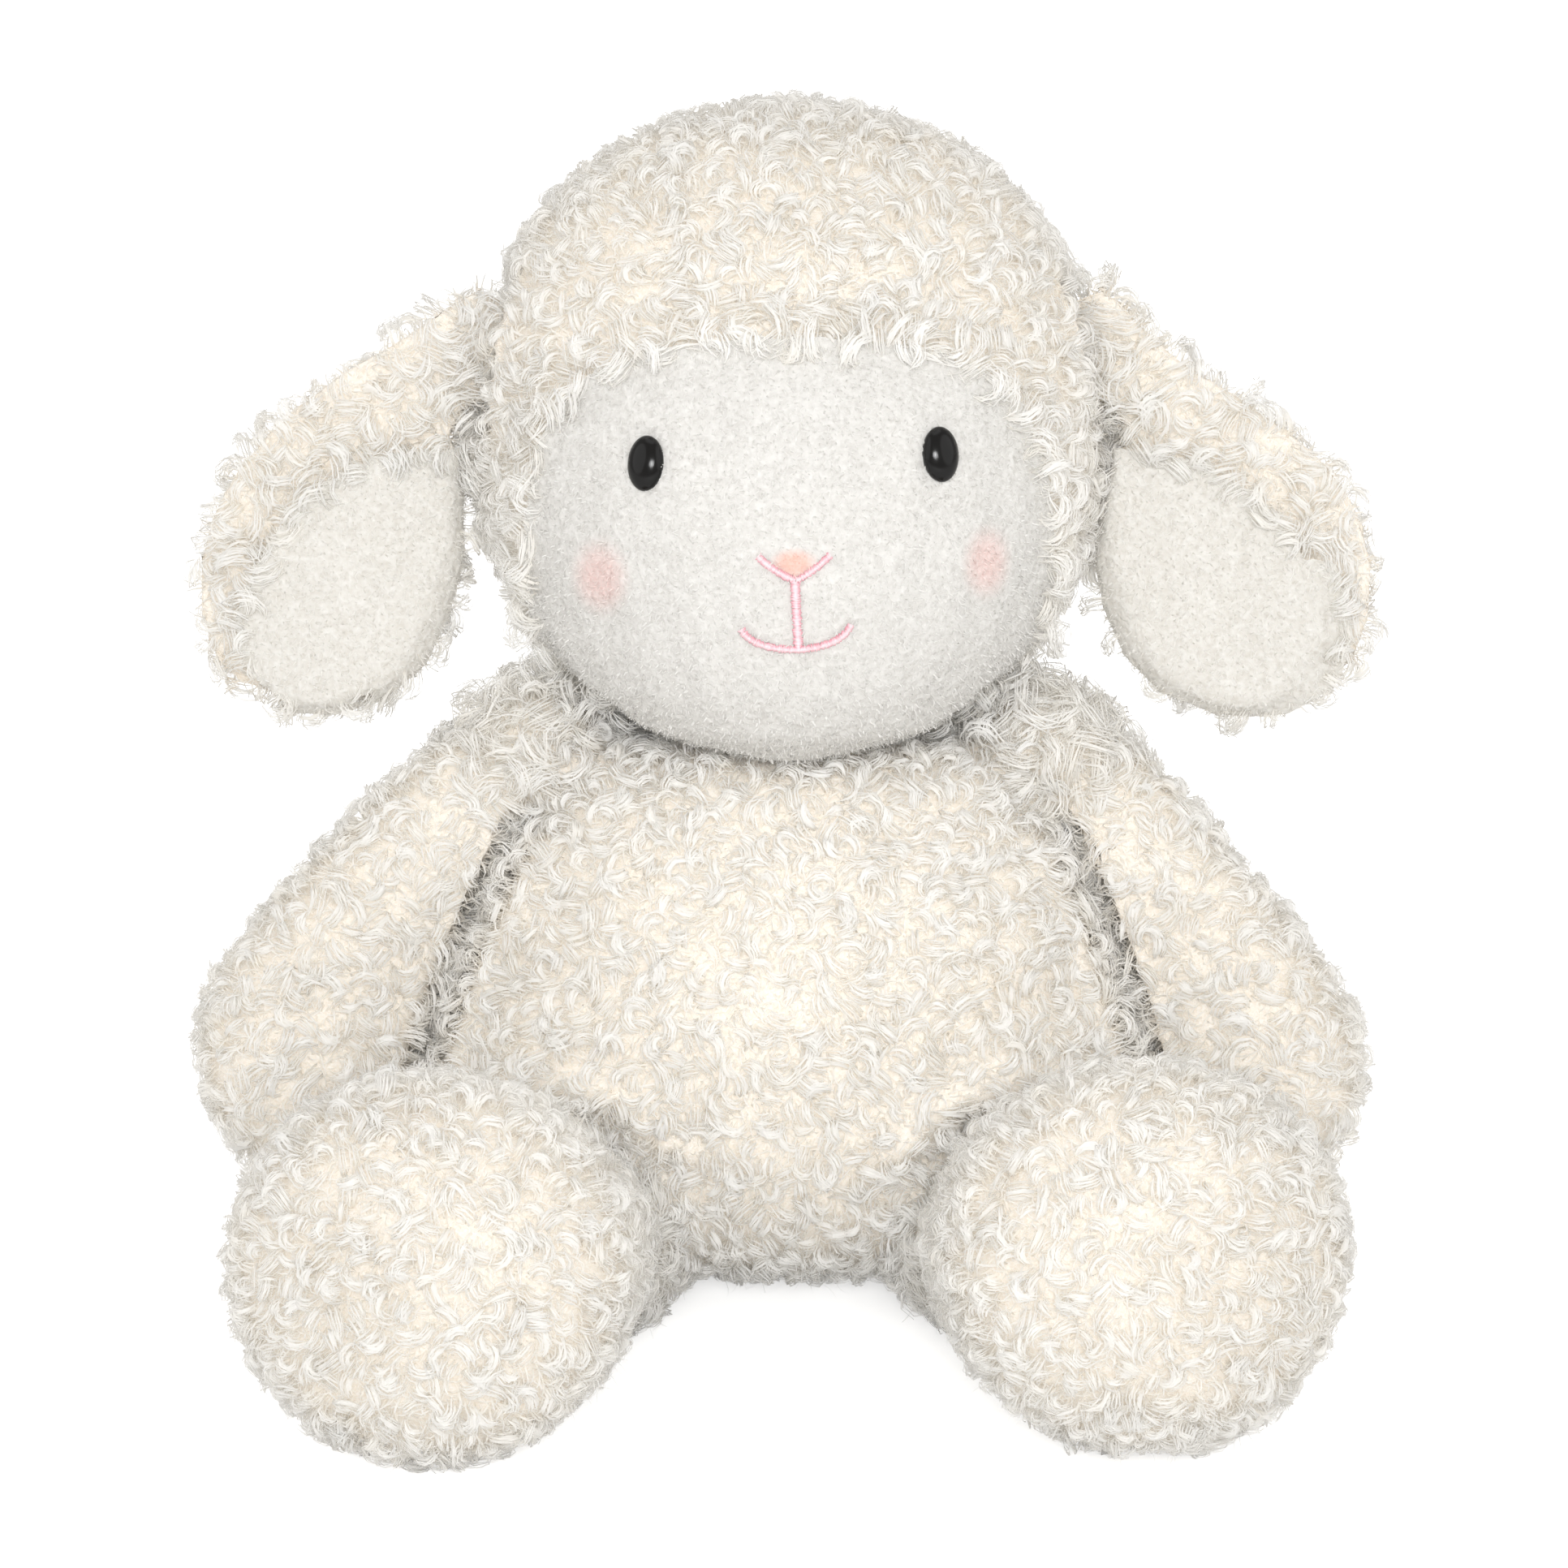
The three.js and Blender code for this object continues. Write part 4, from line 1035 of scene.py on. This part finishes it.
def nearness(points, normals, others):
    """1 where the wool faces another sewn piece close by, down to 0 at 12 mm from it."""
    reach = 12 * MM
    made = np.zeros(len(points))
    for other in others:
        for k in np.flatnonzero(in_box(points, coordinates(other.backing), reach)):
            near, _, _, distance = other.tree.find_nearest(points[k].tolist())
            toward = (np.array(near) - points[k]) @ normals[k] / max(distance, 1e-6)
            made[k] = max(made[k], (1 - distance / reach) * smoothstep(0.2, 0.8, toward))
    return np.clip(made, 0, 1)


def edging(points, normals, skin):
    """Where the wool meets a bare panel's edge within 6 mm: up to 1 in front of it, down to -1 behind it."""
    if skin.bare_tree is None:
        return np.zeros(len(points))
    distance = np.array([skin.bare_tree.find_nearest(p)[3] for p in points.tolist()])
    facing = normals @ leaned_way(0, -1, 0)
    return np.clip(1 - (distance - BACKING_DEPTH) / (6 * MM), 0, 1) * (2 * smoothstep(-0.5, 0.4, facing) - 1)


def wool(skin, label, name, node_name, rng, others):
    """All the wool of one panel, in as many pieces as its size asks for."""
    beds = [scattered(skin, label, kind.spacing, rng) for kind in (TUFTS, HOOKS)]
    fill, fill_normals = scattered(skin, label, UNDERFUR_SPACING, rng)
    if not len(beds[0][0]):
        return
    per_fibre, per_stray = 2 * (RINGS - 1), 2 * (STRAY_RINGS - 1)
    per_lock = [per_fibre * kind.fibres + per_stray for kind in (TUFTS, HOOKS)]
    total = per_fibre * len(fill) + sum(per * len(bed[0]) for per, bed in zip(per_lock, beds))
    parts = max(1, math.ceil(total / MOST_TRIANGLES))
    fill_order = np.array_split(np.argsort(fill[:, 0]), parts)
    orders = [np.array_split(np.argsort(bed[0][:, 0]), parts) for bed in beds]
    for part in range(parts):
        strands, cells = [], 0
        for kind, (roots, normals), order in zip((TUFTS, HOOKS), beds, orders):
            some = order[part]
            scale = skin.size + 0.9 * nearness(roots[some], normals[some], others)
            scale = scale + skin.fringe * edging(roots[some], normals[some], skin)
            curls = Curls(roots[some], normals[some], rng, kind, scale)
            for kinds in (curl_fibres(curls, kind.fibres, rng), stray_fibres(curls, rng)):
                kinds.cell = kinds.cell + cells
                strands.append(kinds)
            cells += len(some)
        some = fill_order[part]
        strands.append(underfur(fill[some], fill_normals[some], rng, cells))
        title = name if parts == 1 else f"{name}_{part + 1}"
        new_object(title, wool_mesh(title, strands), skin.body, WOOL, "curly_wool", node_name)


def dress(skins, rng):
    for key, skin in skins.items():
        inner = {
            "body": ["body_filling", "pellet_bag"],
            "head": ["head_filling", "left_eye_washer", "right_eye_washer"],
        }.get(key, [n for n in (key + "_filling",) if n in NODES])
        backing = new_object(key + "_backing", skin.backing, skin.body, BACKING, "curly_wool", *inner)
        skin.backing.shade_smooth()
        others = [s for s in skins.values() if s is not skin and {key, s.body} != {"body", "head"}]
        for label, cover in enumerate(skin.covers):
            if cover.endswith("lining") or cover == "face_panel":
                continue
            wool(skin, label, cover + "_wool", cover, rng, others)


SKINS = make_skins()
dress(SKINS, np.random.default_rng(11))


# Short pile


def pile_piece(skin, label, name, node_name, pile, slot, grain, seed):
    """A bare panel of short pile: the skin's own surface, finely divided and covered in small nubs."""
    mesh = skin.outer.copy()
    drop = np.flatnonzero(skin.label != label)
    bm = bmesh.new()
    bm.from_mesh(mesh)
    bm.faces.ensure_lookup_table()
    bmesh.ops.delete(bm, geom=[bm.faces[k] for k in drop], context="FACES")
    mesh = largest_piece(to_mesh(bm, mesh))
    mesh = with_modifier(mesh, "SUBSURF", levels=PILE_LEVELS, subdivision_type="CATMULL_CLARK")
    triangles = 2 * len(mesh.polygons)
    if triangles > MOST_TRIANGLES:
        mesh = with_modifier(mesh, "DECIMATE", ratio=MOST_TRIANGLES / triangles)
    points, normals = coordinates(mesh), vertex_normals(mesh)
    nubs = noise(points, grain, seed) * 0.6 + noise(points, grain * 0.55, seed + 1) * 0.5
    waves = noise(points, 9 * MM, seed + 2) * 0.25 * MM
    height = np.clip(0.5 + 0.5 * nubs, 0, 1)
    moved = points + normals * (height * 0.42 * MM + waves - 0.35 * MM)[:, None]
    place_vertices(mesh, moved)
    # The nubs' height also sets their colour: paler on their tops as painted highlight, darker in the hollows
    # as painted shade.
    carry(mesh, "pile_height", height)
    mesh.shade_smooth()
    made = new_object(name, mesh, skin.body, pile, slot, node_name)
    hairs = pile_hairs(name + "_hairs", mesh, np.random.default_rng(seed))
    new_object(name + "_hairs", hairs, skin.body, pile, slot, node_name)


def pile_hairs(name, mesh, rng):
    """Short bent hairs all over a panel of pile."""
    count_faces = len(mesh.polygons)
    corners = values_of(mesh.loops, "vertex_index", len(mesh.loops), np.int32)
    starts = values_of(mesh.polygons, "loop_start", count_faces, np.int32)
    triangles = corners[starts[:, None] + np.arange(3)]
    points, normals = coordinates(mesh), vertex_normals(mesh)
    areas = 2 * triangle_areas(points[triangles])
    pick = rng.choice(count_faces, int(areas.sum() / HAIR_SPACING**2 * 4), p=areas / areas.sum())
    weights = rng.dirichlet((1, 1, 1), len(pick))[:, :, None]
    roots = (points[triangles[pick]] * weights).sum(axis=1)
    facing = normalised((normals[triangles[pick]] * weights).sum(axis=1))
    kept = thinned(roots, HAIR_SPACING)
    roots, facing = np.repeat(roots[kept], 3, axis=0), np.repeat(facing[kept], 3, axis=0)
    roots = roots + rng.normal(0, 0.12 * MM, roots.shape)
    along, across = tangents(facing, rng)
    n = len(roots)
    rise = rng.uniform(0.3, 0.85, (n, 1)) * MM
    run = rng.uniform(0.5, 1.35, (n, 1)) * MM
    bow = rng.normal(0, 0.3, (n, 1)) * MM
    centre = bowed(roots, facing, along, across, rise, run, bow, 2.2, 0.1 * MM)
    taper = np.linspace(1, 0.4, RINGS)
    wide = across[:, None] * (rng.uniform(0.08, 0.15, (n, 1)) * MM * taper)[..., None]
    hairs = Ribbons(centre, wide, np.zeros((n, RINGS)), rng.random(n), np.arange(n))
    # Each hair's colour value rises toward its tip, with a random spread per hair: paler tips as painted
    # highlight.
    rising = np.repeat(np.tile(np.linspace(0.4, 1, RINGS), n), 2)
    lift = rising + np.repeat(rng.normal(0, 0.25, n), 2 * RINGS)
    return new_mesh(name, hairs.points, hairs.faces, pile_height=np.clip(lift, 0, 1))


FACE_PILE = pile_material(
    "short_pile",
    (0.635, 0.619, 0.592, 1),
    (0.775, 0.764, 0.741, 1),
    [
        ((-33 * MM, 149 * MM), (6.2 * MM, 8.2 * MM), BLUSH, 0.38),
        ((34.5 * MM, 151.5 * MM), (5.2 * MM, 7.8 * MM), BLUSH, 0.38),
        ((0.8 * MM, 152.4 * MM), (4.8 * MM, 3.2 * MM), PEACH, 0.75),
    ],
)
LINING_PILE = pile_material("ear_lining", (0.7, 0.671, 0.62, 1), (0.82, 0.805, 0.77, 1))

pile_piece(SKINS["head"], 0, "face_pile", "face_panel", FACE_PILE, "short_pile", 0.75 * MM, 3)
for side in ("left", "right"):
    ear = side + "_ear"
    pile_piece(SKINS[ear], 1, ear + "_pile", ear + "_lining", LINING_PILE, "ear_lining", 0.85 * MM, 9)
FACE_TREE = tree_of(SKINS["head"].outer)


def on_face(x, z):
    """The point of the face seen from the front at a place on the upright toy, and its normal."""
    start, way = leaned(x, -0.2, z), leaned_way(0, 1, 0)
    point, normal, _, _ = FACE_TREE.ray_cast(Vector(start.tolist()), Vector(way.tolist()))
    return np.array(point), np.array(normal)


# Eyes


def tube_faces(first, rings, sides):
    """The wall of a tube whose rings follow each other, in triangles."""
    faces = []
    for ring, k in itertools.product(range(rings - 1), range(sides)):
        a = first + ring * sides
        b, n = a + sides, (k + 1) % sides
        faces += [[a + k, b + k, b + n], [a + k, b + n, a + n]]
    return faces


def eye(side, x, z):
    """A domed oval eye, set a little out of the face and square to it."""
    steps = (-3 * MM, 0, 3 * MM)
    near = [on_face(x + dx, z + dz) for dx in steps for dz in steps]
    out = normalised(sum(normal for _, normal in near))
    point = near[4][0] + out * EYE_RAISED
    across = normalised(np.cross(leaned_way(0, 0, 1), -out))
    up = np.cross(-out, across)
    dome = [(EYE_DOME * math.sin(a), math.cos(a)) for a in np.linspace(0, math.pi / 2 * 0.985, EYE_RINGS)]
    rows = [(-EYE_SUNK, 0.93)] + dome
    points = [point - out * EYE_SUNK]
    for lift, share in rows:
        for angle in np.linspace(0, 2 * np.pi, EYE_SIDES, endpoint=False):
            wide = across * (EYE_HALF_WIDTH * share * math.cos(angle))
            points.append(point + out * lift + wide + up * (EYE_HALF_HEIGHT * share * math.sin(angle)))
    points.append(point + out * EYE_DOME)
    faces = tube_faces(1, len(rows), EYE_SIDES)
    top, last = 1 + (len(rows) - 1) * EYE_SIDES, len(points) - 1
    for s in range(EYE_SIDES):
        n = (s + 1) % EYE_SIDES
        faces += [[0, 1 + s, 1 + n], [top + s, last, top + n]]
    mesh = new_mesh(side + "_eye_dome", np.array(points), np.array(faces))
    return new_object(side + "_eye_dome", mesh, "head", EYE, "black_plastic", side + "_eye")


EYE = eye_material()
eye("left", -24.6 * MM, 169.2 * MM)
eye("right", 26.0 * MM, 170.7 * MM)


# Stitching


def along_path(places, count):
    """Evenly spread points on a smooth line through places (x, z), and the direction there."""
    places = np.array(places, float)
    t = np.linspace(0, 1, len(places))
    fine = np.linspace(0, 1, 400)
    x, z = (np.polyval(np.polyfit(t, places[:, k], min(3, len(places) - 1)), fine) for k in (0, 1))
    step = np.hypot(np.diff(x), np.diff(z))
    run = np.concatenate([[0], np.cumsum(step)])
    at = np.interp(np.linspace(0, run[-1], count), run, fine)
    x2, z2 = np.interp(at, fine, x), np.interp(at, fine, z)
    dx, dz = np.gradient(x2), np.gradient(z2)
    length = np.hypot(dx, dz)
    return x2, z2, dx / length, dz / length


def stitched(name, lines, node_name, rng):
    """Satin stitch: threads laid side by side across each line, each one an arched closed tube."""
    points, faces, edge = [], [], []
    turn = [2 * math.pi * k / THREAD_SIDES for k in range(THREAD_SIDES)]
    for places, width in lines:
        length = sum(math.dist(a, b) for a, b in zip(places, places[1:]))
        for x, z, dx, dz in zip(*along_path(places, int(length / PITCH))):
            half = width / 2 * rng.uniform(0.8, 1.18)
            slant = rng.normal(0, 0.1)
            tone = rng.uniform(-0.12, 0.3)
            across = np.array([-dz + slant * dx, dx + slant * dz])
            normal, run = on_face(x, z)[1], leaned_way(dx, 0, dz)
            base = len(points)
            for s in np.linspace(-1, 1, THREAD_RINGS):
                surface, _ = on_face(*(np.array([x, z]) + across * half * s))
                middle = surface + normal * (0.2 * MM + THREAD_RISE * (1 - s * s))
                radius = THREAD_RADIUS * (1.05 - 0.35 * s * s)
                points += [middle + radius * (run * math.cos(a) + normal * math.sin(a)) for a in turn]
                # The colour value grows toward each thread's ends, with a random spread: painted shade where
                # the thread dips into the face, and painted highlight at its raised middle.
                edge += [min(1.0, max(0.0, abs(s) ** 1.8 + tone))] * THREAD_SIDES
            faces += tube_faces(base, THREAD_RINGS, THREAD_SIDES)
            top = base + (THREAD_RINGS - 1) * THREAD_SIDES
            for k in range(1, THREAD_SIDES - 1):
                faces += [[base, base + k + 1, base + k], [top, top + k, top + k + 1]]
    mesh = new_mesh(name, np.array(points), np.array(faces), thread_edge=np.array(edge))
    bm = bmesh.new()
    bm.from_mesh(mesh)
    bmesh.ops.recalc_face_normals(bm, faces=bm.faces)
    return new_object(name, to_mesh(bm, mesh), "head", THREAD, "pink_thread", node_name)


def in_mm(*places):
    return [(x * MM, z * MM) for x, z in places]


THREAD = thread_material()
STITCH_RNG = np.random.default_rng(5)
stitched(
    "nose_satin_stitch",
    [
        (in_mm((-5.3, 153.7), (-2.6, 151.4), (0.9, 149.6)), LINE_WIDTH),
        (in_mm((7.0, 153.9), (4.2, 151.4), (1.3, 149.6)), LINE_WIDTH),
    ],
    "nose_stitching",
    STITCH_RNG,
)
stitched(
    "mouth_satin_stitch",
    [
        (in_mm((1.0, 149.3), (1.3, 143.3), (1.6, 137.9)), STEM_WIDTH),
        (in_mm((-8.2, 140.9), (-4.6, 138.3), (1.4, 137.3), (7.2, 138.7), (10.6, 141.7)), LINE_WIDTH),
    ],
    "mouth_stitching",
    STITCH_RNG,
)


# Stage


def split_by_camera(tree, lights, seen, output):
    """The first shader lights the toy, and the second is what the camera sees."""
    ray = node(tree, "ShaderNodeLightPath").outputs["Is Camera Ray"]
    mix = node(tree, "ShaderNodeMixShader", {0: ray, 1: lights.outputs[0], 2: seen.outputs[0]})
    tree.links.new(mix.outputs[0], tree.nodes[output].inputs["Surface"])


def floor():
    bm = bmesh.new()
    bmesh.ops.create_grid(bm, x_segments=1, y_segments=1, size=6)
    mesh = to_mesh(bm, bpy.data.meshes.new("floor"))
    made, tree, shader = material("floor_white")
    fed(tree, shader, {"Base Color": FLOOR_COLOUR, "Roughness": 0.9, "Specular IOR Level": 0.0})
    glow = node(tree, "ShaderNodeEmission", {"Color": (1, 1, 1, 1), "Strength": FLOOR_GLOW})
    both = node(tree, "ShaderNodeAddShader", {0: shader.outputs[0], 1: glow.outputs[0]})
    split_by_camera(tree, shader, both, "Material Output")
    mesh.materials.append(made)
    plane = bpy.data.objects.new("floor", mesh)
    bpy.context.scene.collection.objects.link(plane)


def lamp(name, kind, place, target, power, **settings):
    place, target = leaned(*place), leaned(*target)
    data = bpy.data.lights.new(name, kind)
    data.energy = power
    for key, value in settings.items():
        setattr(data, key, value)
    aimed(bpy.data.objects.new(name, data), Vector(place.tolist()), Vector(target.tolist()))


def aimed(made, place, target):
    """Links a lamp or a camera to the scene, at a place and turned toward its target."""
    made.location = place
    made.rotation_mode = "QUATERNION"
    made.rotation_quaternion = (target - place).to_track_quat("-Z", "Y")
    bpy.context.scene.collection.objects.link(made)


def soft_light(name, place, width, height, power):
    shape = {"shape": "ELLIPSE", "size": width, "size_y": height, "color": LAMP_COLOUR}
    lamp(name, "AREA", place, (0, 0, 0.11), power, **shape)


def spot_light(name, target, angle, power):
    shape = {"spot_size": math.radians(angle), "spot_blend": 1.0, "shadow_soft_size": 0.1}
    lamp(name, "SPOT", (0.04, -1.25, 0.33), target, power, **shape)


def world():
    made = bpy.data.worlds.new("studio")
    bpy.context.scene.world = made
    made.use_nodes = True
    tree = made.node_tree
    back = tree.nodes["Background"]
    fed(tree, back, {"Color": WORLD_COLOUR, "Strength": WORLD_STRENGTH})
    seen = node(tree, "ShaderNodeBackground", {"Color": (1, 1, 1, 1), "Strength": 1.0})
    split_by_camera(tree, back, seen, "World Output")


def camera():
    data = bpy.data.cameras.new("camera")
    data.sensor_width = 36
    data.lens = 139.1
    made = bpy.data.objects.new("camera", data)
    target = Vector(leaned(-0.0009, 0, 0.108).tolist())
    elevation = math.radians(7) + LEAN
    aimed(made, target + 1.1 * Vector((0, -math.cos(elevation), math.sin(elevation))), target)
    bpy.context.scene.camera = made


floor()
world()
camera()
soft_light("key", (0.04, -1.3, 0.38), 0.62, 0.32, 6.9)
soft_light("left_fill", (-1.1, -0.6, 0.6), 1.5, 1.5, 3.4)
soft_light("right_fill", (1.1, -0.6, 0.6), 1.5, 1.5, 3.4)
soft_light("top", (0.0, -0.1, 1.2), 0.9, 0.9, 1.3)
spot_light("middle", (0.0, 0.0, 0.08), 9.5, 13)
spot_light("head", (0.0, 0.0, 0.165), 13, 8)

bpy.context.scene.view_settings.view_transform = "Standard"
